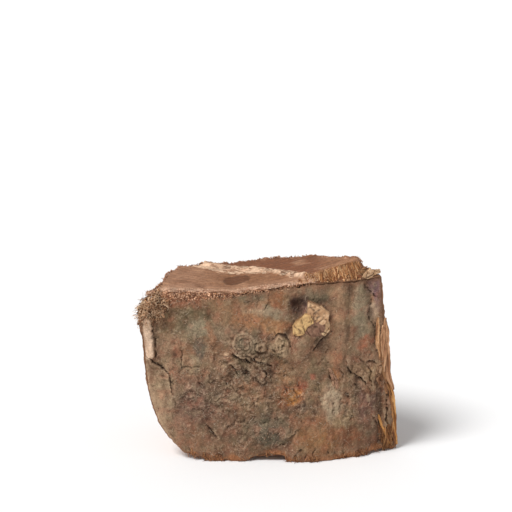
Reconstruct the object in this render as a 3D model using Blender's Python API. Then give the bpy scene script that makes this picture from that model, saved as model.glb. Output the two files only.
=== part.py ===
"""A chunk of smoking wood: a short split piece of fruit-wood log that keeps its bark on one face.

The grain runs up the Z axis. The bark faces -Y, the two cut ends face up and down, and the sides and
the back are split along the grain. The origin is under the middle of the chunk, on the surface that
it rests on. Lengths in the functions are millimetres, and the mesh is written in metres.
"""

import itertools
import math
import random

import bmesh
import bpy
from mathutils import Matrix, Vector, noise

MM = 0.001
SEED = 23

# Driving dimensions of the block, in millimetres
LEFT = -43.6
RIGHT_FOOT = 43.9
RIGHT_LEAN = 0.08
DEPTH = 45.0
NOMINAL_HEIGHT = 62.0

# The bark side bulges as the log did, nearest to the front at this place across
NEAREST_X = 8.0
LEFT_CURVE = 0.0023
RIGHT_CURVE = 0.0098
BELLY = 0.9

# The split sides close in towards the heart of the log
LEFT_TAPER = 7.0
RIGHT_TAPER = 21.5
RIGHT_TAPER_POWER = 1.3
BACK_SLANT_FROM = -10.0
BACK_SLANT = 0.25
BACK_LEAN = 0.025
# Waves across the split back: height and length of each
BACK_WAVES = ((1.2, 9.0), (0.8, 3.7))

# The lower left corner broke off in a long curve, and the upper left one is worn round
LOST_CORNER = 14.0
LOST_CORNER_FADE = 12.5
WORN_CORNER = 4.2
WORN_FROM = 54.0
WORN_DROP = 1.6
WORN_DROP_ACROSS = (-36.0, -43.0)
CLUMP_OUT = 1.6
CLUMP_HEIGHT = 51.5
CLUMP_SIZE = 4.5
CLUMP_REACH = 0.3

# Down the lower right edge the inner bark peels outward
PEEL = 1.7
PEEL_TOP = 30.0
PEEL_FULL = 17.0
PEEL_REACH = 0.13

# The upper end is two cuts. The lower one is level on the left and climbs from this place across
LOW_TOP = 60.3
LOW_CLIMB_FROM = -13.0
LOW_CLIMB = 0.155
# The higher cut: its height at this place across, and its climb to the right, at the front and the rear
HIGH_AT_X = 12.0
HIGH_FRONT = 65.5
HIGH_FRONT_CLIMB = 0.25
HIGH_REAR = 64.8
HIGH_REAR_CLIMB = 0.14
HIGH_REAR_Y = 40.0
# The torn step where they meet: places across, and how deep the step lies there
STEP_SLANT = 0.8
STEP_ACROSS = (-40.0, -30.0, -22.0, -17.0, -11.4, -6.3, 1.4, 5.8, 10.4, 12.4, 14.0, 15.5)
STEP_DEEP = (50.0, 42.5, 37.0, 33.0, 29.0, 26.5, 20.5, 15.0, 7.5, 5.0, 1.0, -6.0)
STEP_WIDE = 4.6
STEP_NARROW = 1.4
STEP_NARROWS = (-12.0, 3.0)
STEP_CREST = 0.8
STEP_CREST_WIDTH = 1.6
STEP_WANDER = 1.1
LEAST_STEP = 0.4

# Behind the bark at the upper right the wood is broken back in a sloping band of fibres
BAND_FOOT = 64.3
BAND_SLOPE = 0.9
BAND_STARTS = (6.0, 12.0)
LEDGE_STARTS = (30.5, 33.0)
LEDGE_HEIGHT = 64.2
LEDGE_SLOPE = 0.35
LEDGE_LIP = 1.0

# The lower end has a notch in its front edge, and rises a little at both sides
NOTCH = 2.6
NOTCH_LEFT = (-10.0, -4.5)
NOTCH_RIGHT = (7.0, 5.4)
NOTCH_DEEP = (14.0, 2.0)
LEFT_RISE = 2.6
LEFT_RISE_ACROSS = (-20.0, -32.0)
LEFT_RISE_DEEP = (10.0, 30.0)
LEFT_RISE_KEPT = 0.4
RIGHT_RISE = 0.9
RIGHT_RISE_ACROSS = (29.0, 40.0)

# Size of the first facets, and the number that are left once flat ground is thinned out
FINE = 0.9
BLOCK_FACETS = 9000

# Knots and swellings on the bark: place across, height, radius, how far they stand out
SWELLINGS = (
    (-4.0, 40.0, 14.0, 1.6),
    (-9.0, 43.5, 4.2, 1.5),
    (-3.2, 42.0, 2.0, 1.7),
    (2.4, 42.2, 3.4, 2.2),
    (-4.0, 35.8, 3.6, 1.2),
    (-41.0, 52.0, 5.5, 1.5),
    (22.5, 48.0, 4.5, 1.0),
    (32.0, 36.0, 4.5, 1.3),
    (12.0, 6.0, 9.0, 1.2),
    (-20.0, 6.0, 9.0, 0.8),
)
# Raised rings round the knots: place across, height, radius of the ring, half its width, height of the ring
RINGS = (
    (-9.0, 43.5, 3.9, 0.9, 0.9),
    (-3.2, 42.0, 1.8, 0.7, 0.9),
    (2.4, 42.4, 3.3, 1.0, 1.1),
)
# Pits and bark hollows, given as the knots are
PITS = (
    (-8.4, 33.0, 1.9, 1.8),
    (10.2, 56.6, 3.0, 2.6),
    (5.6, 45.6, 2.0, 1.2),
    (-34.5, 37.5, 1.7, 0.9),
    (0.0, 2.5, 5.0, 1.6),
    (19.0, 42.0, 3.4, 1.3),
)
# Furrows up the bark: place across at the top and foot, height at the top and foot, half width, depth
FURROWS = (
    (26.6, 27.4, 63.0, 40.0, 2.4, 1.9),
    (33.6, 35.2, 64.0, 50.0, 1.2, 1.0),
    (35.5, 38.8, 52.0, 36.0, 1.6, 1.1),
    (-39.2, -37.8, 52.0, 36.0, 1.1, 0.8),
    (-37.0, -34.4, 33.0, 22.0, 1.2, 0.8),
    (38.6, 39.4, 31.0, 4.0, 1.3, 1.8),
    (29.5, 31.0, 34.0, 22.0, 1.4, 0.8),
)

# The broken branch that lies along the bark, from its root up to its torn tip
BRANCH_ROOT = (7.5, 41.5)
BRANCH_TIP = (15.4, 53.6)
BRANCH_RADIUS = 4.6
BRANCH_RISE = 3.3
BRANCH_ROOT_SHARE = 0.35
BRANCH_BREAK = (1.6, 0.2)

# How rough each kind of surface is
BARK_ROUGHNESS = 0.95
BARK_LUMPS = 6.0
BARK_STRETCH = 0.7
SPLIT_ROUGHNESS = 1.1
SPLIT_WIDE = 8.0
SPLIT_NARROW = 2.6
SPLIT_STRETCH = 0.11
SAWN_ROUGHNESS = 0.45
RIM_FRAY = 0.55
FOOT_WAVE = 1.3
FOOT_SUNK = 0.55
LEVEL_WITHIN = 0.08

# Splinters: how far their roots reach in, how flat they are, and the share of the thickness left at the tip
ROOT_SUNK = 1.6
FLATNESS = 0.6
TIP_SHARE = 0.22
BLUNT_TIP = 0.68

# How many splinters each place has, and where they stand
TUFT_SPLINTERS = 24
TUFT_HEIGHTS = (47.5, 56.0)
TUFT_DEPTHS = (7.0, 12.5)
BAND_SPLINTERS = 12
BAND_ACROSS = (12.0, 31.0)
STEP_SPLINTERS = 9
STEP_LIP_ACROSS = (-21.0, 12.0)
FRINGE_SPLINTERS = 18
FRINGE_ACROSS = (-28.0, 38.0)
FRINGE_LIFT = 1.1
STRIP_SPLINTERS = 6
STRIP_HEIGHTS = (26.0, 3.5)
BURRS = 8
BURR_ACROSS = (-30.0, 12.0)
BURR_HEIGHTS = (8.0, 54.0)
# The flake's slivers: place across, lean to the right, length
FLAKE = ((33.2, -0.25, 1.1), (34.9, 0.05, 2.0), (36.6, 0.3, 1.4), (37.4, 0.6, 2.0))
FLAKE_WIDTH = 3.4

# Long steps in the split faces: place across, or place in depth, and height of the step
BACK_STEPS = ((-17.0, 1.8), (4.0, -2.4), (18.0, 1.6))
LEFT_STEPS = ((21.0, 1.2), (34.0, -1.4))
RIGHT_STEPS = ((20.0, -1.5), (33.0, 1.3))
SPLIT_TURN = 1.6
SIDE_BY_BARK = 0.35
SIDE_INWARD = 0.9
SPLIT_WANDER = 3.5
# Each face reads its own stretch of the noise
BACK_SEED = 3.0
LEFT_SEED = 21.0
RIGHT_SEED = 37.0
TOP_SEED = 50.0


def ease(low, high, value):
    """0 at low and before it, 1 at high and past it, with a smooth turn between. High may be the lesser."""
    share = min(1.0, max(0.0, (value - low) / (high - low)))
    return share * share * (3 - 2 * share)


def mix(first, second, share):
    return first + (second - first) * share


def hump(distance, radius):
    return math.exp(-((distance / radius) ** 2))


def rough(x, y, z, size, octaves=3):
    """Even noise in about -1 to 1, whose lumps are size across."""
    return noise.fractal(Vector((x, y, z)) / size, 1.0, 2.0, octaves)


def along_segment(x, z, start, end):
    """Share of the way along the segment, and the distance from it."""
    line = Vector(end) - Vector(start)
    spot = Vector((x, z)) - Vector(start)
    share = min(1.0, max(0.0, spot.dot(line) / line.length_squared))
    return share, (spot - line * share).length


def left_edge(z, inward):
    lost = LOST_CORNER * math.exp(-max(z, 0.0) / LOST_CORNER_FADE)
    worn = WORN_CORNER * ease(WORN_FROM, NOMINAL_HEIGHT, z)
    clump = CLUMP_OUT * hump(z - CLUMP_HEIGHT, CLUMP_SIZE) * ease(CLUMP_REACH, CLUMP_REACH / 3, inward)
    return LEFT + lost + worn - clump + LEFT_TAPER * inward


def right_edge(z, inward):
    peel = PEEL * ease(PEEL_TOP, PEEL_FULL, z) * ease(PEEL_REACH, 0.0, inward)
    return RIGHT_FOOT - RIGHT_LEAN * z - RIGHT_TAPER * inward**RIGHT_TAPER_POWER + peel


def bark_side(x, z):
    """How far back the bark lies, before its knots and furrows."""
    away = x - NEAREST_X
    curve = LEFT_CURVE if away < 0 else RIGHT_CURVE
    belly = BELLY * ((z - NOMINAL_HEIGHT / 2) / (NOMINAL_HEIGHT / 2)) ** 2
    return curve * away * away + belly


def split_back(x, z):
    """The back split away in long waves that follow the grain."""
    waves = sum(tall * math.sin(x / length + tall) for tall, length in BACK_WAVES)
    return DEPTH + waves - BACK_LEAN * z - BACK_SLANT * max(0.0, x - BACK_SLANT_FROM)


def step_line(x):
    """How deep the torn step of the upper end lies at this place across."""
    for (x0, x1), (y0, y1) in zip(itertools.pairwise(STEP_ACROSS), itertools.pairwise(STEP_DEEP)):
        if x <= x1:
            break
    return mix(y0, y1, min(1.0, max(0.0, (x - x0) / (x1 - x0))))


def past_step(x, y):
    """How far behind the foot of the torn step, and how wide its ramp is there."""
    wander = STEP_WANDER * rough(x, y, 0.0, 5.0)
    wide = mix(STEP_WIDE, STEP_NARROW, ease(*STEP_NARROWS, x))
    return (y - step_line(x)) * STEP_SLANT + wander, wide


def upper_end(x, y):
    """Height of the upper cut end."""
    low = LOW_TOP + LOW_CLIMB * max(0.0, x - LOW_CLIMB_FROM)
    front = HIGH_FRONT + HIGH_FRONT_CLIMB * (x - HIGH_AT_X)
    rear = HIGH_REAR + HIGH_REAR_CLIMB * (x - HIGH_AT_X)
    high = max(low + LEAST_STEP, mix(front, rear, max(0.0, y / HIGH_REAR_Y)))
    past, wide = past_step(x, y)
    height = mix(low, high, ease(0.0, wide, past))
    height += STEP_CREST * hump(past - wide, STEP_CREST_WIDTH)
    height -= WORN_DROP * ease(*WORN_DROP_ACROSS, x)
    behind_bark = y - bark_side(x, NOMINAL_HEIGHT)
    band = BAND_FOOT + BAND_SLOPE * max(0.0, behind_bark)
    height = mix(height, min(height, band), ease(*BAND_STARTS, x))
    ledge = LEDGE_HEIGHT + LEDGE_SLOPE * max(0.0, behind_bark - LEDGE_LIP)
    return mix(height, min(height, ledge), ease(*LEDGE_STARTS, x))


def lower_end(x, y):
    """Height of the lower cut end. What would reach below the surface that it rests on is flat."""
    wave = FOOT_WAVE * rough(x, y, 5.0, 16.0) - FOOT_SUNK
    notch = NOTCH * ease(*NOTCH_LEFT, x) * ease(*NOTCH_RIGHT, x) * ease(*NOTCH_DEEP, y)
    left_rise = LEFT_RISE * ease(*LEFT_RISE_ACROSS, x) * mix(1.0, LEFT_RISE_KEPT, ease(*LEFT_RISE_DEEP, y))
    right_rise = RIGHT_RISE * ease(*RIGHT_RISE_ACROSS, x)
    return max(0.0, wave + notch + left_rise + right_rise)


def bark_relief(x, z):
    """How far the bark stands out of its smooth curve, with its knots, pits, furrows and broken branch."""
    out = sum(tall * hump(math.hypot(x - at, z - up), size) for at, up, size, tall in SWELLINGS)
    out -= sum(deep * hump(math.hypot(x - at, z - up), size) for at, up, size, deep in PITS)
    for at, up, radius, half, tall in RINGS:
        out += tall * hump(math.hypot(x - at, z - up) - radius, half)
    for top_x, foot_x, top_z, foot_z, half, deep in FURROWS:
        _, off = along_segment(x, z, (top_x, top_z), (foot_x, foot_z))
        out -= deep * hump(off, half)
    share, off = along_segment(x, z, BRANCH_ROOT, BRANCH_TIP)
    direction = (Vector(BRANCH_TIP) - Vector(BRANCH_ROOT)).normalized()
    past_tip = (Vector((x, z)) - Vector(BRANCH_TIP)).dot(direction)
    round_top = math.sqrt(max(0.0, 1 - (off / BRANCH_RADIUS) ** 2))
    out += BRANCH_RISE * mix(BRANCH_ROOT_SHARE, 1.0, share) * round_top * ease(*BRANCH_BREAK, past_tip)
    return out + BARK_ROUGHNESS * rough(x, 0.0, z * BARK_STRETCH, BARK_LUMPS, 4)


def split_relief(across, z, seed, steps):
    """Long ridges, grooves and steps of wood that split along its grain."""
    wide = rough(across, seed, z * SPLIT_STRETCH, SPLIT_WIDE)
    narrow = rough(across, seed + DEPTH, z * SPLIT_STRETCH, SPLIT_NARROW)
    relief = SPLIT_ROUGHNESS * (0.8 * wide + 0.35 * narrow)
    for place, tall in steps:
        wander = SPLIT_WANDER * rough(place, seed, z / 2, SPLIT_WIDE, 4)
        relief += tall * ease(-SPLIT_TURN / 2, SPLIT_TURN / 2, across - place - wander)
    return relief


def sawn_relief(x, y):
    """The shallow scoring that a saw leaves across the grain."""
    return SAWN_ROUGHNESS * rough(x * 0.6, y * 1.4, TOP_SEED, 4.0, 4)


def side_share(inward):
    """The sides are smoothest where they meet the bark."""
    return mix(SIDE_BY_BARK, SIDE_INWARD, ease(0.0, SIDE_BY_BARK, inward))


def placed(corner):
    """Where a point of the starting cube, whose sides run from -1 to 1, lies on the chunk."""
    across, inward, upward = ((value + 1) / 2 for value in corner)
    nominal_z = upward * NOMINAL_HEIGHT
    x = mix(left_edge(nominal_z, inward), right_edge(nominal_z, inward), across)
    y = mix(bark_side(x, nominal_z), split_back(x, nominal_z), inward)
    z = mix(lower_end(x, y), upper_end(x, y), upward)
    if inward == 0:
        y -= bark_relief(x, z)
    if inward == 1:
        y += split_relief(x, z, BACK_SEED, BACK_STEPS)
    if across == 0:
        x -= side_share(inward) * split_relief(y, z, LEFT_SEED, LEFT_STEPS)
    if across == 1:
        x += side_share(inward) * split_relief(y, z, RIGHT_SEED, RIGHT_STEPS)
    if upward == 1:
        z += sawn_relief(x, y)
    on_rim = sum(value in (0, 1) for value in (across, inward, upward)) > 1
    if on_rim and upward > 0:
        fray = RIM_FRAY * rough(x, y, z, 2.2, 2)
        x += fray * (across - 0.5)
        y += fray * (inward - 0.5)
        z += fray * upward
    return Vector((x, y, z)) * MM


def cut_cube():
    """A cube from -1 to 1 with evenly spaced cuts along each axis."""
    cube = bmesh.new()
    bmesh.ops.create_cube(cube, size=2.0)
    for axis, length in enumerate((RIGHT_FOOT - LEFT, DEPTH, NOMINAL_HEIGHT)):
        along = [edge for edge in cube.edges if abs(edge.verts[0].co[axis] - edge.verts[1].co[axis]) > 1]
        bmesh.ops.subdivide_edges(cube, edges=along, cuts=round(length / FINE), use_grid_fill=True)
    return cube


def linked(name, shape, collection, material=None):
    mesh = bpy.data.meshes.new(name)
    shape.to_mesh(mesh)
    shape.free()
    if material:
        mesh.materials.append(material)
    made = bpy.data.objects.new(name, mesh)
    collection.objects.link(made)
    return made


def block(collection, material):
    """The whole chunk but its splinters, moulded from the cut cube."""
    shape = cut_cube()
    for vertex in shape.verts:
        vertex.co = placed(tuple(round(value, 6) for value in vertex.co))
    bmesh.ops.recalc_face_normals(shape, faces=shape.faces[:])
    return linked("wood_chunk", shape, collection, material)


def splinter(root, direction, length, thickness, turn, collection, tip=TIP_SHARE):
    """A torn sliver of wood, four-sided and tapering, with its root sunk into the block."""
    shape = bmesh.new()
    whole = length + ROOT_SUNK
    bmesh.ops.create_cone(
        shape,
        cap_ends=True,
        segments=4,
        radius1=thickness / 2,
        radius2=thickness / 2 * tip,
        depth=whole,
    )
    aim = Vector(direction).normalized().to_track_quat("Z", "Y").to_matrix().to_4x4()
    lift = Matrix.Translation((0, 0, whole / 2 - ROOT_SUNK))
    flatten = Matrix.Diagonal((1.0, FLATNESS, 1.0, 1.0))
    place = Matrix.Translation(Vector(root))
    shape.transform(Matrix.Scale(MM, 4) @ place @ aim @ Matrix.Rotation(turn, 4, "Z") @ lift @ flatten)
    return linked("splinter", shape, collection)


def torn(draw, root, direction, lengths, thicknesses, collection):
    length = draw.uniform(*lengths)
    thickness = draw.uniform(*thicknesses)
    return splinter(root, direction, length, thickness, draw.uniform(0, math.pi), collection)


def evenly(count, first, last):
    return [mix(first, last, number / (count - 1)) for number in range(count)]


def front_of(x, z):
    return bark_side(x, z) - bark_relief(x, z)


def back_of(x, z):
    return split_back(x, z) + split_relief(x, z, BACK_SEED, BACK_STEPS)


def left_of(y, z):
    near = bark_side(LEFT, z)
    inward = (y - near) / (split_back(LEFT, z) - near)
    return left_edge(z, inward) - side_share(inward) * split_relief(y, z, LEFT_SEED, LEFT_STEPS)


def right_of(y, z):
    near = bark_side(RIGHT_FOOT, z)
    inward = max(0.0, (y - near) / (split_back(RIGHT_FOOT, z) - near))
    return right_edge(z, inward) + side_share(inward) * split_relief(y, z, RIGHT_SEED, RIGHT_STEPS)


def corner_tuft(draw, collection):
    """Torn fibres that stand out to the left below the worn upper corner."""
    for _ in range(TUFT_SPLINTERS):
        z = draw.uniform(*TUFT_HEIGHTS)
        y = draw.uniform(*TUFT_DEPTHS)
        root = (left_of(y, z) + ROOT_SUNK / 2, y, z)
        heading = (-1.0, draw.uniform(-0.7, 0.3), draw.uniform(-0.85, 0.25))
        torn(draw, root, heading, (2.2, 4.8), (1.4, 2.6), collection)


def upper_band(draw, collection):
    """Slivers in the sloping band behind the bark, leaning forward and down to the right."""
    for x in evenly(BAND_SPLINTERS, *BAND_ACROSS):
        y = bark_side(x, NOMINAL_HEIGHT) + draw.uniform(0.8, 3.0)
        root = (x, y, upper_end(x, y) - ROOT_SUNK / 8)
        heading = (draw.uniform(0.2, 0.7), -0.8, draw.uniform(0.1, 0.5))
        torn(draw, root, heading, (1.3, 2.4), (1.3, 2.0), collection)


def step_lip(draw, collection):
    """Broken fibres that lie along the torn step of the upper end."""
    for x in evenly(STEP_SPLINTERS, *STEP_LIP_ACROSS):
        _, wide = past_step(x, 0.0)
        y = step_line(x) + wide
        root = (x, y, upper_end(x, y) - ROOT_SUNK / 5)
        heading = (0.8, -0.6, draw.uniform(0.2, 0.4))
        torn(draw, root, heading, (1.5, 3.0), (1.2, 2.0), collection)


def lower_fringe(draw, collection):
    """Fibres that the saw pulled out of the bark's lower edge, lying forward just above the surface."""
    for place in evenly(FRINGE_SPLINTERS, *FRINGE_ACROSS):
        x = place + draw.uniform(-1.5, 1.5)
        z = FRINGE_LIFT + lower_end(x, bark_side(x, 0.0))
        root = (x, front_of(x, z) + ROOT_SUNK / 3, z)
        heading = (draw.uniform(-0.6, 0.6), -1.0, draw.uniform(-0.15, 0.05))
        torn(draw, root, heading, (1.0, 2.2), (1.1, 1.7), collection)


def right_strip(draw, collection):
    """Slivers down the strip of inner bark that peels off the right edge, and the tuft at its foot."""
    for z in evenly(STRIP_SPLINTERS, *STRIP_HEIGHTS):
        y = bark_side(RIGHT_FOOT, z) + draw.uniform(1.5, 4.0)
        root = (right_of(y, z) - ROOT_SUNK, y, z)
        droop = -0.1 if z == STRIP_HEIGHTS[-1] else -0.6
        heading = (draw.uniform(0.6, 1.0), draw.uniform(-0.4, 0.1), droop)
        torn(draw, root, heading, (2.8, 3.8), (1.4, 2.0), collection)


def corner_flake(collection):
    """The pale flake that stands up on the ledge at the upper right corner."""
    for x, lean, length in FLAKE:
        root = (x, bark_side(x, LEDGE_HEIGHT) + ROOT_SUNK, LEDGE_HEIGHT)
        splinter(root, (lean, -0.1, 1.0), length, FLAKE_WIDTH, lean, collection, BLUNT_TIP)


def back_burrs(draw, collection):
    """A few slivers that the split left standing on the back."""
    for place in evenly(BURRS, *BURR_ACROSS):
        x = place + draw.uniform(-2.0, 2.0)
        z = draw.uniform(*BURR_HEIGHTS)
        root = (x, back_of(x, z) - ROOT_SUNK / 2, z)
        heading = (draw.uniform(-0.2, 0.2), 0.35, draw.choice((-1.0, 1.0)))
        torn(draw, root, heading, (3.0, 6.5), (1.2, 1.9), collection)


def joined(chunk, collection):
    """The chunk thinned out where it is flat, with every splinter fused into it as one solid."""
    thin = chunk.modifiers.new("thin out", "DECIMATE")
    thin.ratio = BLOCK_FACETS / (2 * len(chunk.data.polygons))
    join = chunk.modifiers.new("fuse splinters", "BOOLEAN")
    join.operation = "UNION"
    join.operand_type = "COLLECTION"
    join.collection = collection
    join.solver = "MANIFOLD"
    graph = bpy.context.evaluated_depsgraph_get()
    fused = bpy.data.meshes.new_from_object(chunk.evaluated_get(graph))
    chunk.modifiers.clear()
    chunk.data = fused
    for part in list(collection.objects):
        bpy.data.objects.remove(part)
    bpy.data.collections.remove(collection)


def settled(chunk):
    """Levels the spots that it rests on, and moves the middle of its box over the origin."""
    for vertex in chunk.data.vertices:
        if vertex.co.z < LEVEL_WITHIN * MM:
            vertex.co.z = 0.0
    across = [vertex.co.x for vertex in chunk.data.vertices]
    deep = [vertex.co.y for vertex in chunk.data.vertices]
    middle = Vector(((min(across) + max(across)) / 2, (min(deep) + max(deep)) / 2, 0))
    chunk.data.transform(Matrix.Translation(-middle))


def wood():
    """Weathered fruit wood, dull and brown."""
    material = bpy.data.materials.new("weathered wood")
    material.use_nodes = True
    finish = material.node_tree.nodes["Principled BSDF"]
    finish.inputs["Base Color"].default_value = (0.26, 0.15, 0.09, 1.0)
    finish.inputs["Roughness"].default_value = 0.9
    finish.inputs["Metallic"].default_value = 0.0
    return material


def clear_scene():
    for old in list(bpy.data.objects):
        bpy.data.objects.remove(old)


def main():
    clear_scene()
    draw = random.Random(SEED)
    parts = bpy.data.collections.new("smoking_wood_chunk")
    splinters = bpy.data.collections.new("splinters")
    bpy.context.scene.collection.children.link(parts)
    bpy.context.scene.collection.children.link(splinters)
    chunk = block(parts, wood())
    corner_tuft(draw, splinters)
    upper_band(draw, splinters)
    step_lip(draw, splinters)
    lower_fringe(draw, splinters)
    right_strip(draw, splinters)
    corner_flake(splinters)
    back_burrs(draw, splinters)
    joined(chunk, splinters)
    settled(chunk)


main()
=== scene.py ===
"""The looks of a chunk of smoking wood: weathered bark on one face, sawn ends, split sides, torn fibres.

Places are millimetres as the chunk is drawn: x across, y in from the bark, z up along the grain. MIDDLE is
the spot that comes to lie over the origin. Finished meshes are in metres.
"""

import math
import random

import bmesh
import bpy
import numpy as np
from mathutils import Matrix, Vector, noise


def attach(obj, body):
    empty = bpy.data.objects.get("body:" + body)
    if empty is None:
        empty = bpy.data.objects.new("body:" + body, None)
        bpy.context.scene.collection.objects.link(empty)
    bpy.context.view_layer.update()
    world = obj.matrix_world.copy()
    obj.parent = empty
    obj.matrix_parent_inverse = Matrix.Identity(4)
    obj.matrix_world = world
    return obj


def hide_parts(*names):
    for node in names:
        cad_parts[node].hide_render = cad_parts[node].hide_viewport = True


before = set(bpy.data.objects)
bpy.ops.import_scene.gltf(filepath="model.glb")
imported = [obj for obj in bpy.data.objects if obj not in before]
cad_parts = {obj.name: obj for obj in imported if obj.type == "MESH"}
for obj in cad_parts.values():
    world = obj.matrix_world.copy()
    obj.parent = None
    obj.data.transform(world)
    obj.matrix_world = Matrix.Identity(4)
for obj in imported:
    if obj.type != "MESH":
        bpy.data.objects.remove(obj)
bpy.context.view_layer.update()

MM = 0.001
MIDDLE = (-0.8118, 20.8506, 0.0)

# Size of the mesh cells of the wood and of the bark: about one and three quarters of a pixel
WOOD_CELL = 0.5
BARK_CELL = 0.28

# The block
LEFT = -43.6
RIGHT_FOOT = 43.9
RIGHT_LEAN = 0.08
DEPTH = 45.0
NOMINAL_HEIGHT = 62.0
NEAREST_X = 8.0
LEFT_CURVE = 0.0023
RIGHT_CURVE = 0.0098
BELLY = 0.9
LEFT_TAPER = 7.0
RIGHT_TAPER = 21.5
RIGHT_TAPER_POWER = 1.3
BACK_SLANT_FROM = -10.0
BACK_SLANT = 0.25
BACK_LEAN = 0.025
BACK_WAVES = ((1.2, 9.0), (0.8, 3.7))
LOST_CORNER = 14.0
LOST_CORNER_FADE = 12.5
WORN_CORNER = 4.2
WORN_FROM = 54.0
WORN_DROP = 1.6
WORN_DROP_ACROSS = (-36.0, -43.0)
CLUMP_OUT = 1.6
CLUMP_HEIGHT = 51.5
CLUMP_SIZE = 4.5
CLUMP_REACH = 0.3
PEEL = 1.7
PEEL_TOP = 30.0
PEEL_FULL = 17.0
PEEL_REACH = 0.13

# The upper end: a lower cut in front, a higher one behind, and the torn step where they meet
LOW_TOP = 60.3
LOW_CLIMB_FROM = -13.0
LOW_CLIMB = 0.155
HIGH_AT_X = 12.0
HIGH_FRONT = 65.5
HIGH_FRONT_CLIMB = 0.25
HIGH_REAR = 64.8
HIGH_REAR_CLIMB = 0.17
HIGH_REAR_Y = 40.0
STEP_SLANT = 0.8
STEP_ACROSS = (-40.0, -30.0, -22.0, -17.0, -11.4, -6.3, 1.4, 5.8, 10.4, 12.4, 14.0, 15.5)
STEP_DEEP = (50.0, 42.5, 37.0, 33.0, 29.0, 26.5, 20.5, 15.0, 7.5, 5.0, 1.0, -6.0)
STEP_WIDE = 4.6
STEP_NARROW = 1.4
STEP_NARROWS = (-12.0, 3.0)
STEP_CREST = 0.8
STEP_CREST_WIDTH = 1.6
STEP_WANDER = 1.1
LEAST_STEP = 0.4
BAND_FOOT = 64.3
BAND_SLOPE = 0.9
BAND_STARTS = (6.0, 12.0)
LEDGE_STARTS = (30.5, 33.0)
LEDGE_HEIGHT = 64.2
LEDGE_SLOPE = 0.35
LEDGE_LIP = 1.0

# The lower end
NOTCH = 2.6
NOTCH_LEFT = (-10.0, -4.5)
NOTCH_RIGHT = (7.0, 5.4)
NOTCH_DEEP = (14.0, 2.0)
LEFT_RISE = 2.6
LEFT_RISE_ACROSS = (-20.0, -32.0)
LEFT_RISE_DEEP = (10.0, 30.0)
LEFT_RISE_KEPT = 0.4
RIGHT_RISE = 0.9
RIGHT_RISE_ACROSS = (29.0, 40.0)
FOOT_WAVE = 1.3
FOOT_SUNK = 0.55

# Swellings and pits of the bark: place across, height, radius, how far they stand out or go in
SWELLINGS = (
    (-4.0, 40.0, 14.0, 1.6),
    (-8.2, 43.6, 4.6, 1.5),
    (-2.8, 42.4, 2.0, 1.7),
    (4.0, 42.6, 3.5, 2.2),
    (-4.0, 35.8, 3.6, 1.2),
    (-41.0, 52.0, 5.5, 1.5),
    (22.5, 48.0, 4.5, 1.0),
    (32.0, 36.0, 4.5, 1.3),
    (12.0, 6.0, 9.0, 1.2),
    (-20.0, 6.0, 9.0, 0.8),
)
PITS = (
    (-8.4, 33.0, 1.9, 1.4),
    (10.2, 56.4, 2.9, 2.8),
    (-34.5, 37.5, 1.7, 0.9),
    (0.0, 2.5, 5.0, 1.6),
    (19.4, 41.5, 3.4, 1.3),
)
FURROWS = (
    (27.9, 27.2, 61.5, 43.0, 1.6, 1.3),
    (33.6, 35.2, 64.0, 50.0, 1.2, 1.0),
    (35.5, 38.8, 52.0, 36.0, 1.6, 1.1),
    (-39.2, -37.8, 52.0, 36.0, 1.1, 0.8),
    (-37.0, -34.4, 33.0, 22.0, 1.2, 0.8),
    (38.6, 39.4, 31.0, 4.0, 1.3, 1.8),
    (29.5, 31.0, 34.0, 22.0, 1.4, 0.8),
)
BRANCH_ROOT = (8.9, 41.2)
BRANCH_TIP = (16.2, 53.6)
BRANCH_RADIUS = 4.5
BRANCH_RISE = 4.4
BRANCH_ROOT_SHARE = 0.35
BRANCH_BREAK = (1.6, 0.2)

# Roughness of each kind of surface
BARK_ROUGHNESS = 0.95
BARK_LUMPS = 6.0
BARK_STRETCH = 0.7
SPLIT_ROUGHNESS = 1.1
SPLIT_WIDE = 8.0
SPLIT_NARROW = 2.6
SPLIT_STRETCH = 0.11
SAWN_ROUGHNESS = 0.45
BACK_STEPS = ((-17.0, 1.8), (4.0, -2.4), (18.0, 1.6))
LEFT_STEPS = ((21.0, 1.2), (34.0, -1.4))
RIGHT_STEPS = ((20.0, -1.5), (33.0, 1.3))
SPLIT_TURN = 1.6
SIDE_BY_BARK = 0.35
SIDE_INWARD = 0.9
SPLIT_WANDER = 3.5
BACK_SEED = 3.0
LEFT_SEED = 21.0
RIGHT_SEED = 37.0
TOP_SEED = 50.0

# Fine waves of the sawn upper end, the torn step and the lower end, and how far the rims fray
SAWN_FINE = 0.14
TORN_ROUGHNESS = 0.45
FOOT_FINE = 0.10
FRAY = 0.55
FRAY_FINE = 0.25

# Thickness of the bark, how far inside its rim the wood stands back to it, and how deep its sheet's back lies
BARK_THICK = 1.5
BARK_TUCK = 2.4
BARK_BACK = 2.2

# Width and height of the bark's face, near enough, by which a share of it becomes millimetres
FACE_WIDE = 87.0
FACE_TALL = 63.0

# The steepest turn, in degrees, over which each kind of surface is still shaded smooth
WOOD_SMOOTH = 62
BARK_SMOOTH = 70
TORN_SMOOTH = 50

# The long pale strip at the left edge of the bark: its ends, and its half width in shape and in colour
PALE_STRIP = ((-41.6, 49.4), (-41.2, 37.4))
PALE_STRIP_RAISED = 1.7
PALE_STRIP_PAINTED = 1.9

# Hollows of the bark, painted dark with shade: the one above the stub, a black pit under the round knot, and one at
# the left
STUB_HOLLOW = (10.8, 56.2)
BLACK_PIT = (-7.3, 32.8)
LEFT_PIT = (-32.5, 38.0)
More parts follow.
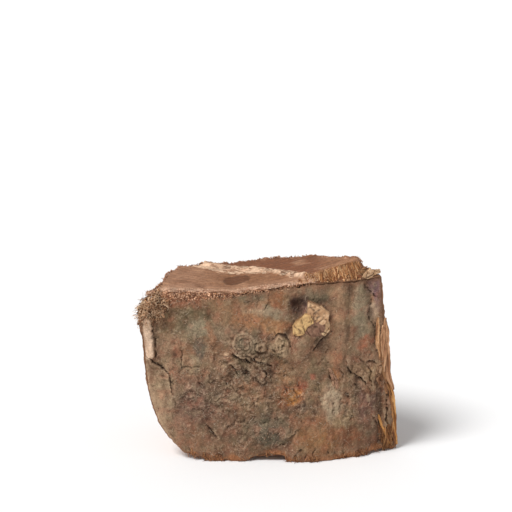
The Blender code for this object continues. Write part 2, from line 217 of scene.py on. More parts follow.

# Cracks, painted dark with dirt and shade as deep as they are: half width, depth, how far the bark lifts on the left
# of the line's run, and the line itself
CRACKS = (
    (0.24, 0.9, 0.4, ((-40.3, 50.4), (-39.9, 46.6), (-39.2, 43.8), (-38.9, 40.3), (-38.8, 37.1))),
    (0.26, 1.0, -0.7, ((-42.6, 36.9), (-40.2, 35.2), (-38.8, 34.4), (-36.9, 33.1), (-35.7, 31.9), (-34.5, 31.2),
                       (-34.3, 29.1), (-33.9, 26.9), (-33.4, 24.6))),
    (0.42, 1.0, 0.3, ((-21.7, 13.2), (-19.9, 11.2), (-18.3, 9.4))),
    (0.22, 0.7, -0.2, ((31.8, 66.1), (32.2, 62.9), (33.3, 61.1), (35.1, 59.1), (36.6, 57.5), (38.4, 56.9))),
    (0.2, 0.6, 0.15, ((35.5, 56.6), (34.9, 53.2), (33.9, 50.8), (36.0, 48.0), (36.8, 45.8), (37.6, 41.4),
                      (37.7, 37.4))),
    (0.30, 1.1, 0.7, ((26.8, 35.6), (27.6, 32.9), (30.0, 30.5), (32.6, 29.0), (33.7, 27.2))),
    (0.26, 0.8, 0.5, ((20.7, 34.2), (21.1, 31.3), (22.1, 29.0), (23.0, 26.6))),
    (0.34, 1.2, 0.0, ((40.9, 27.4), (41.6, 21.0), (41.7, 16.8), (41.8, 12.6), (42.2, 8.3), (42.4, 4.2))),
    (0.24, 0.7, 0.4, ((31.4, 36.4), (33.2, 34.8), (35.9, 35.2), (37.8, 34.0))),
    (0.22, 0.7, 0.4, ((34.4, 33.0), (35.6, 31.2), (35.2, 28.6), (36.2, 25.8))),
    (0.22, 0.6, -0.4, ((37.9, 29.0), (37.2, 26.4), (38.0, 23.6))),
    (0.2, 0.6, 0.3, ((29.2, 27.6), (31.4, 26.2), (33.0, 24.2))),
    (0.2, 0.5, 0.3, ((24.6, 33.4), (25.8, 31.0), (25.4, 28.8))),
    (0.32, 0.9, 0.3, ((36.6, 13.8), (38.5, 10.1), (40.2, 5.9), (41.0, 3.4))),
    (0.42, 1.2, 0.6, ((-12.2, 39.6), (-10.4, 38.2), (-8.0, 37.9), (-6.4, 37.0))),
    (0.38, 1.1, 0.5, ((-5.0, 38.2), (-3.6, 37.2), (-1.2, 36.9), (0.6, 35.6))),
    (0.34, 0.9, 0.5, ((-12.8, 35.6), (-11.2, 34.2), (-10.8, 32.2))),
    (0.34, 0.9, -0.5, ((-2.0, 34.6), (-0.8, 32.8), (-1.4, 30.6))),
    (0.40, 1.0, 0.0, ((1.7, 45.2), (3.2, 46.8), (5.5, 46.5), (7.1, 44.4), (7.3, 42.9))),
    # This groove also carries the painted shadow along the lower right side of the stub's ridge
    (0.28, 1.0, -0.6, ((20.2, 47.6), (18.9, 45.4), (17.0, 43.4), (16.0, 41.4), (14.0, 39.8))),
    (0.3, 0.55, 0.2, ((9.1, 0.2), (9.6, 3.0), (11.2, 5.0))),
    (0.3, 0.55, 0.0, ((12.0, 0.2), (13.1, 3.2))),
    (0.34, 0.6, -0.2, ((15.8, 0.2), (15.3, 2.8), (16.3, 4.8))),
    (0.3, 0.55, 0.0, ((22.0, 0.6), (20.6, 3.4))),
    (0.28, 0.5, 0.0, ((26.4, 1.0), (25.6, 3.0))),
    (0.26, 0.6, 0.2, ((2.8, 5.2), (5.4, 7.4), (8.6, 10.2), (9.8, 12.2))),
    (0.24, 0.6, 0.2, ((-30.2, 40.6), (-29.6, 38.4), (-30.3, 36.0), (-29.8, 33.4))),
    (0.2, 0.35, 0.2, ((-4.0, 61.0), (-3.1, 58.2), (-3.9, 55.6))),
)
SMALL_CRACKS = 70
SMALL_CRACK_HALF = (0.10, 0.2)
SMALL_CRACK_DEEP = (0.15, 0.42)

# Where the bark is a scabby crust: place across, height, radius, and how much
CRUSTS = (
    (-4.5, 37.0, 11.0, 1.0),
    (-9.0, 30.0, 9.0, 0.8),
    (-20.0, 22.0, 13.0, 0.6),
    (-30.0, 30.0, 10.0, 0.45),
    (-27.0, 52.0, 9.0, 0.4),
    (0.5, 13.0, 9.0, 0.55),
    (9.0, 24.0, 7.0, 0.8),
    (24.0, 22.0, 8.0, 0.55),
    (34.0, 20.0, 8.0, 0.6),
    (33.0, 36.0, 7.0, 0.6),
    (-12.0, 8.0, 9.0, 0.35),
)

# The ground colour of the bark, and the colour of the dirt and painted shade in its cracks and hollows
BROWN = "#80614A"
SOOT_AND_SHADE = "#3A2A20"

# Stains, and among them painted light and shade on the stub: place across, height, half sizes across and up, turn in
# degrees, colour, strength
STAINS = (
    (-18.0, 36.0, 23.0, 21.0, 0, "#735039", 0.42),
    (-24.0, 20.0, 16.0, 14.0, 0, "#77594A", 0.6),
    (-37.0, 21.0, 5.5, 15.0, -14, "#A0866A", 0.7),
    (-23.5, 21.5, 9.0, 6.5, 20, "#674C41", 0.8),
    (-15.0, 25.0, 8.0, 6.0, 0, "#6B5744", 0.7),
    (-12.0, 16.0, 9.0, 6.0, 0, "#765845", 0.6),
    (-20.0, 8.0, 12.0, 5.0, -8, "#7A5A43", 0.7),
    (-15.5, 10.5, 8.0, 4.5, 0, "#67503F", 0.65),
    (-26.0, 50.5, 11.0, 7.0, 0, "#63533C", 0.95),
    (-24.5, 47.4, 5.0, 4.0, 20, "#8D7F67", 0.85),
    (-34.0, 50.0, 4.5, 5.5, 0, "#664C37", 0.85),
    (-23.4, 39.7, 2.3, 4.4, 0, "#665B4E", 0.9),
    (-20.0, 46.5, 1.5, 3.4, 8, "#9A6C50", 0.75),
    (-31.8, 40.0, 2.2, 3.4, 0, "#8D5A44", 0.6),
    (-31.0, 32.1, 2.6, 3.0, 0, "#8A5642", 0.6),
    (-36.0, 41.0, 3.5, 5.0, 0, "#967A60", 0.5),
    (-27.5, 34.5, 4.5, 4.0, 0, "#9C8568", 0.75),
    (-18.0, 34.5, 5.0, 4.0, 0, "#8A7057", 0.6),
    (-14.0, 48.0, 6.0, 5.0, 0, "#8F7A62", 0.5),
    (-10.0, 55.6, 9.0, 3.6, 0, "#8C694C", 0.7),
    (2.3, 58.8, 4.2, 4.2, 0, "#935F3E", 0.75),
    (-6.0, 59.6, 7.5, 1.7, 3, "#6F604C", 0.8),
    (0.6, 54.2, 6.5, 1.7, -14, "#8F8069", 0.75),
    (-8.0, 51.2, 7.5, 3.0, -4, "#956848", 0.75),
    (2.2, 49.6, 5.4, 3.2, -6, "#A0744F", 0.75),
    (-7.8, 42.8, 4.8, 5.6, 0, "#655846", 1.0),
    (-4.0, 35.6, 9.5, 5.6, 0, "#57412F", 0.85),
    (4.6, 41.8, 3.4, 4.0, 0, "#7E694F", 0.8),
    (-9.2, 32.0, 2.8, 2.6, 0, "#5E5847", 0.8),
    (-1.5, 31.0, 5.0, 4.0, 0, "#775A49", 0.6),
    (6.4, 33.0, 5.0, 6.0, 0, "#96704F", 0.8),
    (10.5, 38.0, 5.0, 7.0, -30, "#927258", 0.75),
    (-6.5, 28.0, 4.0, 2.2, 0, "#93654A", 0.6),
    (-6.0, 21.0, 8.0, 5.0, 0, "#856A50", 0.6),
    (8.0, 25.0, 3.2, 5.0, -50, "#8C502F", 0.8),
    (8.9, 23.8, 2.4, 2.4, -20, "#BC7D42", 1.0),
    (11.6, 27.6, 1.7, 2.0, 0, "#8F4435", 0.7),
    (11.6, 21.0, 2.4, 2.4, 0, "#56453A", 0.7),
    (15.4, 31.3, 1.3, 1.3, 0, "#A8443A", 0.95),
    (16.0, 30.0, 4.5, 8.0, 0, "#857256", 0.5),
    (0.4, 11.6, 8.4, 7.6, 0, "#615545", 1.0),
    (1.0, 9.8, 4.4, 4.4, 0, "#564F43", 0.7),
    (17.6, 9.0, 9.0, 6.8, 0, "#88603F", 1.0),
    (11.4, 15.0, 6.0, 3.4, 10, "#8A6046", 0.7),
    (19.0, 13.6, 6.0, 3.0, 10, "#8F684C", 0.6),
    (22.4, 21.8, 3.0, 7.2, 4, "#C4AC8E", 1.0),
    (26.9, 13.9, 4.4, 3.2, 0, "#9C8464", 0.75),
    (34.4, 20.8, 4.4, 8.6, 0, "#76554A", 0.9),
    (29.4, 21.0, 2.8, 6.0, 0, "#7C644E", 0.6),
    (34.9, 9.8, 3.9, 3.2, 0, "#5A4E42", 0.85),
    (28.8, 7.0, 5.6, 3.6, 0, "#7E4F38", 0.8),
    (31.5, 9.6, 6.0, 3.4, 0, "#72472F", 0.6),
    (36.0, 5.0, 4.5, 3.0, 0, "#6E4A38", 0.6),
    (22.8, 53.0, 3.2, 12.0, 0, "#A07C5F", 0.9),
    (23.0, 42.0, 5.0, 5.0, 0, "#98785E", 0.75),
    (27.6, 52.5, 1.3, 10.5, 3, "#86674E", 0.75),
    (31.2, 53.0, 2.6, 10.5, 0, "#93836A", 0.95),
    (32.8, 45.5, 3.2, 5.5, 0, "#8C7C64", 0.85),
    (36.8, 60.6, 3.2, 4.4, 0, "#7C5F5A", 0.95),
    (37.8, 57.0, 2.5, 4.4, 10, "#77595A", 0.9),
    (35.9, 51.6, 2.4, 2.6, 0, "#B99E84", 0.95),
    (21.2, 39.6, 2.6, 3.4, 0, "#B08E70", 0.75),
    (34.0, 42.0, 2.8, 2.4, 30, "#A26247", 0.8),
    (33.0, 36.8, 3.6, 2.8, 0, "#7F5C47", 0.75),
    (32.6, 31.0, 4.2, 3.0, -30, "#A1805F", 0.7),
    (36.6, 26.0, 3.0, 4.0, 0, "#94704F", 0.6),
    (22.6, 37.4, 2.8, 3.4, 0, "#B07A5C", 0.75),
    (22.6, 30.0, 1.6, 3.6, 10, "#B07850", 0.7),
    (16.4, 59.0, 6.0, 3.0, -10, "#6C5F4D", 0.85),
    # The dark colour of the hollow above the stub, with painted shade in it
    (10.2, 56.2, 3.2, 3.4, 30, "#5C4543", 0.95),
    (10.2, 45.2, 4.4, 2.6, 35, "#7D5744", 0.7),
    (38.2, 31.0, 3.0, 3.4, 0, "#A9825E", 0.6),
    # Painted light on the top of the stub's ridge, and in the next line a painted shadow along its lower right side
    (13.4, 45.6, 1.7, 5.4, -38, "#A07E62", 0.8),
    (17.7, 43.4, 1.3, 4.8, -38, "#543F31", 0.75),
    (9.0, 48.6, 3.2, 1.4, 10, "#604937", 0.5),
    (-3.6, 53.8, 5.0, 1.0, -12, "#A48C72", 0.45),
    (-36.4, 55.6, 5.0, 2.2, 8, "#7E4E3C", 0.75),
    (-40.0, 55.5, 5.5, 5.6, 0, "#66462F", 0.85),
    (-28.0, 57.2, 6.0, 1.4, 4, "#85543F", 0.7),
    (-30.0, 56.6, 8.0, 2.4, 4, "#7A4A33", 0.6),
    (-14.0, 38.5, 1.0, 0.9, 0, "#C8A888", 0.8),
    (-29.5, 44.5, 5.0, 3.0, 30, "#8F7A60", 0.6),
)

# Slabs of torn wood and bark: outline as places across and up, how far the face stands out of the bark
# curve, how thick it is, how it leans up and to the right, its colours, and the size of its cracked blocks
TORN_BRANCH = (
    (((12.9, 54.2), (13.2, 58.4), (16.6, 57.2), (20.3, 54.6), (20.1, 52.0), (18.2, 50.6), (15.4, 51.4)),
     5.6, 5.2, (0.16, 0.14), ("#BE9570", "#A27A57", "#CFAB86"), 2.5),
    (((8.2, 47.0), (8.0, 49.8), (9.8, 51.6), (12.0, 54.6), (14.0, 54.4), (15.2, 51.6), (13.0, 50.2), (11.8, 47.2),
      (9.8, 46.6)), 4.9, 4.6, (0.15, 0.25), ("#B79264", "#9C754F", "#CBA873"), 3.4),
    (((12.4, 50.6), (14.6, 52.2), (18.4, 51.6), (19.2, 49.6), (17.8, 47.0), (14.6, 46.4), (12.2, 48.0)),
     5.1, 4.4, (0.0, 0.05), ("#7A5846", "#614436", "#8D6B56"), 2.4),
    (((18.2, 51.0), (20.0, 52.2), (20.7, 50.4), (20.6, 48.4), (18.8, 46.6), (17.6, 47.6), (18.8, 49.2)),
     4.9, 4.4, (0.0, -0.2), ("#B9946F", "#9C7652", "#CFAE88"), 4.0),
)
CORNER_FLAKE = (
    (((31.8, 64.8), (32.4, 66.2), (33.9, 66.6), (34.8, 67.4), (35.6, 66.5), (37.0, 66.7), (38.3, 66.2),
      (38.6, 65.2), (36.4, 64.8), (34.0, 64.0)), 0.3, 1.4, (-0.1, -0.25), ("#C09A76", "#A07A58", "#D3B18E"), 3.6),
    (((28.8, 64.6), (29.4, 66.2), (31.0, 67.0), (33.0, 67.3), (34.0, 66.6), (33.8, 65.6), (31.6, 65.0)),
     -1.4, 1.3, (-0.2, -0.3), ("#A87A54", "#875E3E", "#C19A72"), 2.4),
)
BARK_FLAPS = (
    (((26.7, 35.6), (28.4, 36.2), (30.6, 34.9), (32.9, 32.6), (34.8, 30.2), (34.2, 28.7), (32.8, 29.2),
      (30.4, 30.6), (28.2, 32.8)), 1.2, 1.0, (0.10, 0.05), ("#8F7258", "#745843", "#A98A6E"), 3.2),
    (((37.0, 33.0), (38.6, 34.6), (39.6, 31.6), (39.0, 28.6), (37.6, 27.8), (36.6, 30.0)), 0.8, 0.9,
     (0.0, 0.3), ("#9A7558", "#806048", "#B08C6E"), 3.2),
    (((20.6, 34.0), (21.8, 33.6), (23.0, 30.6), (24.4, 27.2), (23.4, 26.2), (21.6, 29.4)), 0.8, 0.7,
     (0.0, 0.15), ("#94705A", "#785843", "#AA866A"), 3.2),
)

# Crumbs of each kind: least and greatest size, seed, and colours
CRUMBS = {
    "saw_wool": ((0.2, 0.52), 3, ("#D3AD92", "#C39B80", "#DBB89C", "#B88F74")),
    "bark_scales": ((0.22, 0.5), 41, ("#9C8169", "#8F745C", "#A88D73", "#846852")),
    "bark_grit": ((0.22, 0.5), 42, ("#6E5443", "#5C4436", "#7C604C", "#84573F")),
    "rim_crumbs": ((0.22, 0.66), 4, ("#BC8E6E", "#AC7A58", "#835640", "#CFA586", "#704934")),
    "band_crumbs": ((0.3, 0.9), 15, ("#B07E56", "#96663F", "#C49A74", "#7E4F32")),
    "corner_crumbs": ((0.35, 1.1), 16, ("#9A7152", "#C2956F", "#553A29", "#D8B08C", "#6E4C36")),
    "rear_crumbs": ((0.3, 0.8), 12, ("#B98E76", "#A87C64", "#C59F86", "#9A6E56")),
}

# Fibres of each kind: pattern, least and greatest length, the same of the width, curl, thickness as a share of
# the width, seed, and colours
FIBRES = {
    "saw_threads": ("fine", (0.4, 1.0), (0.22, 0.4), 0.9, 0.8, 23, ("#CFA58C", "#BE937B", "#B1866D")),
    "bark_threads": ("fine", (0.7, 1.9), (0.14, 0.24), 0.6, 0.8, 43, ("#B59D86", "#A58C75", "#C4AE97")),
    "band_fibres": ("stout", (2.0, 3.8), (0.5, 1.3), 0.07, 0.6, 5,
                    ("#B08058", "#9A6840", "#C2986F", "#885736", "#AB7649")),
    "corner_shreds": ("stout", (1.0, 2.8), (0.24, 0.5), 0.7, 0.6, 6,
                      ("#BE9672", "#DDB996", "#94694A", "#E6C6A4", "#6A4832")),
    "foot_fringe": ("fine", (0.6, 1.8), (0.35, 0.8), 0.35, 0.5, 7,
                    ("#B07850", "#C08C62", "#986848", "#A87450", "#86593E")),
    "peeled_bast": ("stout", (3.0, 9.0), (0.35, 0.8), 0.05, 0.4, 8,
                    ("#A8744B", "#9C6A48", "#B98A60", "#845740", "#6E4C36")),
    "foot_tuft": ("stout", (2.0, 4.5), (0.3, 0.6), 0.06, 0.5, 18, ("#A87449", "#8F5F3C", "#BE8C5E", "#77502F")),
    "step_fibres": ("stout", (2.0, 5.0), (0.3, 0.75), 0.04, 0.5, 9,
                    ("#DDBA9C", "#D0AA8E", "#C49C80", "#E2C3A6", "#B48C70")),
    "back_slivers": ("stout", (1.5, 7.0), (0.25, 0.6), 0.05, 0.5, 10, ("#C29A7C", "#A87C60", "#8F6248", "#D0AC90")),
    "rear_threads": ("fine", (0.5, 1.2), (0.2, 0.36), 0.5, 0.7, 11, ("#B98E76", "#A87C64", "#C59F86", "#9A6E56")),
}

# Thickness and mesh cells of the strips of inner bark, bevel and cuts of the slabs, and the least height of a
# fibre or crumb over the floor
STRIP_THICK = 0.45
STRIP_CELLS = (10, 150)
SLAB_BEVEL = 0.14
SLAB_CUTS = 7
FIBRE_LOWEST = 0.05

# Strips of inner bark that have peeled off the right edge: name, lower and upper end, how far out of the
# edge and how that changes with height, how far behind the bark's curve, width, turn at the ends, colours
PEELED_STRIPS = (
    ("inner_bark_0", (23.0, 49.6), 0.3, 0.0, -1.0, 2.2, (-16, 12), ("#A27555", "#7C553C", "#BA8F6C")),
    ("inner_bark_1", (30.0, 47.2), -1.1, 0.02, -1.4, 1.5, (-24, 4), ("#A97C59", "#835C42", "#BF9775")),
    ("inner_bark_2", (21.5, 43.0), -1.8, 0.0, -1.1, 1.9, (-8, 20), ("#8F6444", "#6C4A33", "#A97E58")),
    ("inner_bark_3", (33.0, 49.9), -2.6, 0.03, -1.6, 1.2, (-14, 10), ("#B3845B", "#8B6143", "#CCA077")),
    ("inner_bark_4", (24.5, 38.5), -3.3, 0.02, -1.3, 1.5, (-6, 24), ("#93694C", "#73503A", "#AE8565")),
    ("outer_peel_0", (1.6, 33.0), 0.1, 0.0, -0.7, 1.3, (10, -20), ("#AE7640", "#7C4E2A", "#CB9A62")),
    ("outer_peel_1", (3.0, 25.0), -0.8, 0.0, -0.9, 0.9, (16, -12), ("#8A5C38", "#5E3E28", "#A97A4B")),
    ("lower_peel", (2.6, 15.0), -2.2, -0.33, -2.2, 1.0, (5, 20), ("#B07640", "#86522F", "#C69055")),
)


def ease(low, high, value):
    """0 at low and before it, 1 at high and past it, with a smooth turn between. High may be the lesser."""
    share = np.clip((value - low) / (high - low), 0.0, 1.0)
    return share * share * (3 - 2 * share)


def mix(first, second, share):
    return first + (second - first) * share


def hump(distance, radius):
    return np.exp(-((distance / radius) ** 2))


def away(x, z, place, half=(1, 1)):
    """Distance from a place, counted in half sizes across and up where they are given."""
    return np.hypot((x - place[0]) / half[0], (z - place[1]) / half[1])


def spots(x, y, z, size):
    x, y, z = np.broadcast_arrays(x, y, z)
    return np.column_stack([np.ravel(values) / size for values in (x, y, z)]).tolist(), x.shape


def rough(x, y, z, size, octaves=3):
    """Even noise in about -1 to 1, whose lumps are size across.

    A bare number in place of x, y or z only picks a noise unlike the others.
    """
    places, shape = spots(x, y, z, size)
    return np.array([noise.fractal(place, 1.0, 2.0, octaves) for place in places]).reshape(shape)


def scabs(x, y, z, size):
    """Cells size across: how far from the nearest crack between them, and a level of -1 to 1 for each cell."""
    places, shape = spots(x, y, z, size)
    found = [noise.voronoi(place) for place in places]
    gap = np.array([far[1] - far[0] for far, _ in found]) * size
    level = np.array([noise.noise(points[0] * 3.7) for _, points in found])
    return gap.reshape(shape), level.reshape(shape)


def along_line(x, z, line):
    """Distance from a line of straight stretches, and the side: 1 on the left of its run, -1 on the right."""
    nearest = np.full(np.shape(x), np.inf)
    side = np.zeros(np.shape(x))
    for (x0, z0), (x1, z1) in zip(line, line[1:]):
        run_x, run_z = x1 - x0, z1 - z0
        share = np.clip(((x - x0) * run_x + (z - z0) * run_z) / (run_x**2 + run_z**2), 0.0, 1.0)
        off = np.hypot(x - x0 - share * run_x, z - z0 - share * run_z)
        left = np.sign(run_x * (z - z0) - run_z * (x - x0))
        side = np.where(off < nearest, left, side)
        nearest = np.minimum(nearest, off)
    return nearest, side


def left_edge(z, inward):
    lost = LOST_CORNER * np.exp(-np.maximum(z, 0.0) / LOST_CORNER_FADE)
    worn = WORN_CORNER * ease(WORN_FROM, NOMINAL_HEIGHT, z)
    clump = CLUMP_OUT * hump(z - CLUMP_HEIGHT, CLUMP_SIZE) * ease(CLUMP_REACH, CLUMP_REACH / 3, inward)
    return LEFT + lost + worn - clump + LEFT_TAPER * inward


def right_edge(z, inward):
    peel = PEEL * ease(PEEL_TOP, PEEL_FULL, z) * ease(PEEL_REACH, 0.0, inward)
    return RIGHT_FOOT - RIGHT_LEAN * z - RIGHT_TAPER * inward**RIGHT_TAPER_POWER + peel


def bark_side(x, z):
    away = x - NEAREST_X
    curve = np.where(away < 0, LEFT_CURVE, RIGHT_CURVE)
    belly = BELLY * ((z - NOMINAL_HEIGHT / 2) / (NOMINAL_HEIGHT / 2)) ** 2
    return curve * away * away + belly


def split_back(x, z):
    waves = sum(tall * np.sin(x / length + tall) for tall, length in BACK_WAVES)
    return DEPTH + waves - BACK_LEAN * z - BACK_SLANT * np.maximum(0.0, x - BACK_SLANT_FROM)


def past_step(x, y):
    """How far behind the foot of the torn step, and how wide its ramp is there."""
    wander = STEP_WANDER * rough(x, y, 0.0, 5.0)
    wide = mix(STEP_WIDE, STEP_NARROW, ease(*STEP_NARROWS, x))
    return (y - np.interp(x, STEP_ACROSS, STEP_DEEP)) * STEP_SLANT + wander, wide


def upper_end(x, y):
    low = LOW_TOP + LOW_CLIMB * np.maximum(0.0, x - LOW_CLIMB_FROM)
    front = HIGH_FRONT + HIGH_FRONT_CLIMB * (x - HIGH_AT_X)
    rear = HIGH_REAR + HIGH_REAR_CLIMB * (x - HIGH_AT_X)
    high = np.maximum(low + LEAST_STEP, mix(front, rear, np.maximum(0.0, y / HIGH_REAR_Y)))
    past, wide = past_step(x, y)
    height = mix(low, high, ease(0.0, wide, past))
    height = height + STEP_CREST * hump(past - wide, STEP_CREST_WIDTH)
    height = height - WORN_DROP * ease(*WORN_DROP_ACROSS, x)
    behind_bark = y - bark_side(x, NOMINAL_HEIGHT)
    band = BAND_FOOT + BAND_SLOPE * np.maximum(0.0, behind_bark)
    height = mix(height, np.minimum(height, band), ease(*BAND_STARTS, x))
    ledge = LEDGE_HEIGHT + LEDGE_SLOPE * np.maximum(0.0, behind_bark - LEDGE_LIP)
    return mix(height, np.minimum(height, ledge), ease(*LEDGE_STARTS, x))


def lower_end(x, y):
    wave = FOOT_WAVE * rough(x, y, 5.0, 16.0) - FOOT_SUNK
    notch = NOTCH * ease(*NOTCH_LEFT, x) * ease(*NOTCH_RIGHT, x) * ease(*NOTCH_DEEP, y)
    left_rise = LEFT_RISE * ease(*LEFT_RISE_ACROSS, x) * mix(1.0, LEFT_RISE_KEPT, ease(*LEFT_RISE_DEEP, y))
    right_rise = RIGHT_RISE * ease(*RIGHT_RISE_ACROSS, x)
    return np.maximum(0.0, wave + notch + left_rise + right_rise)


def humps(x, z, table):
    """The sum of the round humps of a table: place across, height, radius, and how much in the middle."""
    return sum(much * hump(away(x, z, (at, up)), size) for at, up, size, much in table)


def bark_relief(x, z):
    """How far the bark stands out of its smooth curve, but for its fine crust."""
    out = humps(x, z, SWELLINGS) - humps(x, z, PITS)
    for top_x, foot_x, top_z, foot_z, half, deep in FURROWS:
        off, _ = along_line(x, z, ((top_x, top_z), (foot_x, foot_z)))
        out = out - deep * hump(off, half)
    return out + branch_relief(x, z) + BARK_ROUGHNESS * rough(x, 0.0, z * BARK_STRETCH, BARK_LUMPS, 4)


def branch_relief(x, z):
    run = np.subtract(BRANCH_TIP, BRANCH_ROOT)
    long = np.hypot(*run)
    share = np.clip(((x - BRANCH_ROOT[0]) * run[0] + (z - BRANCH_ROOT[1]) * run[1]) / long**2, 0.0, 1.0)
    off = np.hypot(x - BRANCH_ROOT[0] - share * run[0], z - BRANCH_ROOT[1] - share * run[1])
    past_tip = ((x - BRANCH_TIP[0]) * run[0] + (z - BRANCH_TIP[1]) * run[1]) / long
    round_top = np.sqrt(np.maximum(0.0, 1 - (off / BRANCH_RADIUS) ** 2))
    return BRANCH_RISE * mix(BRANCH_ROOT_SHARE, 1.0, share) * round_top * ease(*BRANCH_BREAK, past_tip)


def split_relief(across, z, seed, steps):
    """Long ridges, grooves and steps of wood that split along its grain."""
    wide = rough(across, seed, z * SPLIT_STRETCH, SPLIT_WIDE)
    narrow = rough(across, seed + DEPTH, z * SPLIT_STRETCH, SPLIT_NARROW)
    relief = SPLIT_ROUGHNESS * (0.8 * wide + 0.35 * narrow)
    for place, tall in steps:
        wander = SPLIT_WANDER * rough(place, seed, z / 2, SPLIT_WIDE, 4)
        relief = relief + tall * ease(-SPLIT_TURN / 2, SPLIT_TURN / 2, across - place - wander)
    return relief


def grain_relief(across, z, seed):
    """Fine fibres and short checks of a split face."""
    fibres = 0.20 * rough(across, seed, z * 0.05, 0.9, 3)
    checks = 0.55 * ease(0.62, 0.8, rough(across, seed + 9, z * 0.07, 2.2, 2) + 0.4)
    return fibres - checks * 0.5


def side_share(inward):
    return mix(SIDE_BY_BARK, SIDE_INWARD, ease(0.0, SIDE_BY_BARK, inward))


def front_of(x, z):
    return bark_side(x, z) - bark_relief(x, z)


def back_of(x, z):
    return split_back(x, z) + split_relief(x, z, BACK_SEED, BACK_STEPS)


def left_of(y, z):
    """Where the left side lies at this depth and height. Its edge and how far in it lies depend on each other."""
    x = LEFT
    for _ in range(5):
        near = bark_side(x, z)
        inward = np.clip((y - near) / (split_back(x, z) - near), 0.0, 1.0)
        x = left_edge(z, inward)
    return x - side_share(inward) * split_relief(y, z, LEFT_SEED, LEFT_STEPS)


def right_of(y, z):
    x = RIGHT_FOOT
    for _ in range(5):
        near = bark_side(x, z)
        inward = np.clip((y - near) / (split_back(x, z) - near), 0.0, 1.0)
        x = right_edge(z, inward)
    return x + side_share(inward) * split_relief(y, z, RIGHT_SEED, RIGHT_STEPS)


def linear(colour):
    """An sRGB hex colour as linear red, green and blue."""
    parts = [int(colour[at : at + 2], 16) / 255 for at in (1, 3, 5)]
    return np.array([part / 12.92 if part <= 0.04045 else ((part + 0.055) / 1.055) ** 2.4 for part in parts])


def toward(tone, colour, share):
    """The tones of many points, moved by their shares towards a colour."""
    share = np.clip(share, 0.0, 1.0)[:, None]
    return tone + (linear(colour) - tone) * share


def tinted(tone, *layers):
    """The tones of many points, moved towards one colour after another, or one colour moved so."""
    if isinstance(tone, str):
        tone = np.tile(linear(tone), (len(layers[0][1]), 1))
    for colour, share in layers:
        tone = toward(tone, colour, share)
    return tone


def add(tree, kind, inputs=None, stops=None, **settings):
    """A node with its settings, its links or values by socket, and a ramp's colour stops."""
    node = tree.nodes.new(kind)
    for name, value in settings.items():
        setattr(node, name, value)
    for socket, value in (inputs or {}).items():
        if isinstance(value, bpy.types.NodeSocket):
            tree.links.new(value, node.inputs[socket])
        else:
            node.inputs[socket].default_value = value
    for number, (place, value) in enumerate(stops or ()):
        ramp = node.color_ramp.elements
        stop = ramp[number] if number < 2 else ramp.new(place)
        stop.position = place
        stop.color = (value, value, value, 1)
    return node


def new_material(name, roughness, specular):
    material = bpy.data.materials.new(name)
    material.use_nodes = True
    finish = material.node_tree.nodes["Principled BSDF"]
    finish.inputs["Roughness"].default_value = roughness
    finish.inputs["Specular IOR Level"].default_value = specular
    return material, material.node_tree, finish


def grained(tree, finish, tone, size, stretch, shades, bump, **settings):
    """Noise of this size in millimetres shades the tone, and raises the surface by the strength and height of bump.

    Stretch says how many times further the noise runs up the grain than across it.
    """
    place = add(tree, "ShaderNodeTexCoord")
    scale = (1 / MM, 1 / MM, 1 / MM / stretch)
    mm = add(tree, "ShaderNodeMapping", {"Vector": place.outputs["Object"], "Scale": scale})
    grain = add(tree, "ShaderNodeTexNoise", {"Vector": mm.outputs[0], "Scale": 1 / size, **settings})
    shade = add(tree, "ShaderNodeValToRGB", {"Fac": grain.outputs["Fac"]}, stops=shades)
    shaded = add(tree, "ShaderNodeMix", {0: 1.0, 6: tone, 7: shade.outputs["Color"]},
                 data_type="RGBA", blend_type="MULTIPLY")
    tree.links.new(shaded.outputs[2], finish.inputs["Base Color"])
    if bump:
        strength, height = bump
        raised = {"Height": grain.outputs["Fac"], "Strength": strength, "Distance": height}
        tree.links.new(add(tree, "ShaderNodeBump", raised).outputs["Normal"], finish.inputs["Normal"])


def weathered_bark():
    """Dry fruit tree bark, weathered outdoors: matt, mottled, with grit to the eye."""
    material, tree, finish = new_material("weathered fruit tree bark", 0.9, 0.2)
    tone = add(tree, "ShaderNodeAttribute", attribute_name="tone")
    # Grit of bark dust and dead cells, about 0.35 mm
    shades = ((0.28, 0.55), (0.72, 1.42), (0.5, 1.0))
    grained(tree, finish, tone.outputs["Color"], 0.35, 1, shades, (0.7, 0.0002), Detail=4, Roughness=0.65)
    return material


# The heart of the log lies behind the back, so the yearly rings are wide arcs, 2.2 mm apart. At a scale of
# WAVE_SCALE the rings of Blender's wave texture lie 1 m apart
RINGS_FROM = (0.004, -0.052, 0.0)
RING_GAP = 0.0022
WAVE_SCALE = 0.314


def sawn_end():
    """Fruit wood sawn across its grain: woolly, with faint yearly rings."""
    material, tree, finish = new_material("sawn fruit wood end grain", 0.85, 0.2)
    tone = add(tree, "ShaderNodeAttribute", attribute_name="tone")
    place = add(tree, "ShaderNodeTexCoord")
    heart = add(tree, "ShaderNodeMapping", {"Vector": place.outputs["Object"], "Location": RINGS_FROM})
    rings = add(
        tree,
        "ShaderNodeTexWave",
        {"Vector": heart.outputs[0], "Scale": WAVE_SCALE / RING_GAP, "Distortion": 3.0, "Detail": 3,
         "Detail Scale": 0.6},
        wave_type="RINGS",
        rings_direction="Z",
    )
    ring_tone = add(tree, "ShaderNodeValToRGB", {"Fac": rings.outputs["Fac"]}, stops=((0.0, 0.86), (1.0, 1.08)))
    ringed = add(tree, "ShaderNodeMix", {0: 1.0, 6: tone.outputs["Color"], 7: ring_tone.outputs["Color"]},
                 data_type="RGBA", blend_type="MULTIPLY")
    # Woolly cut fibres, about 0.4 mm
    shades = ((0.3, 0.68), (0.72, 1.3))
    grained(tree, finish, ringed.outputs[2], 0.4, 1, shades, (0.8, 0.00025), Detail=4, Roughness=0.7)
    return material


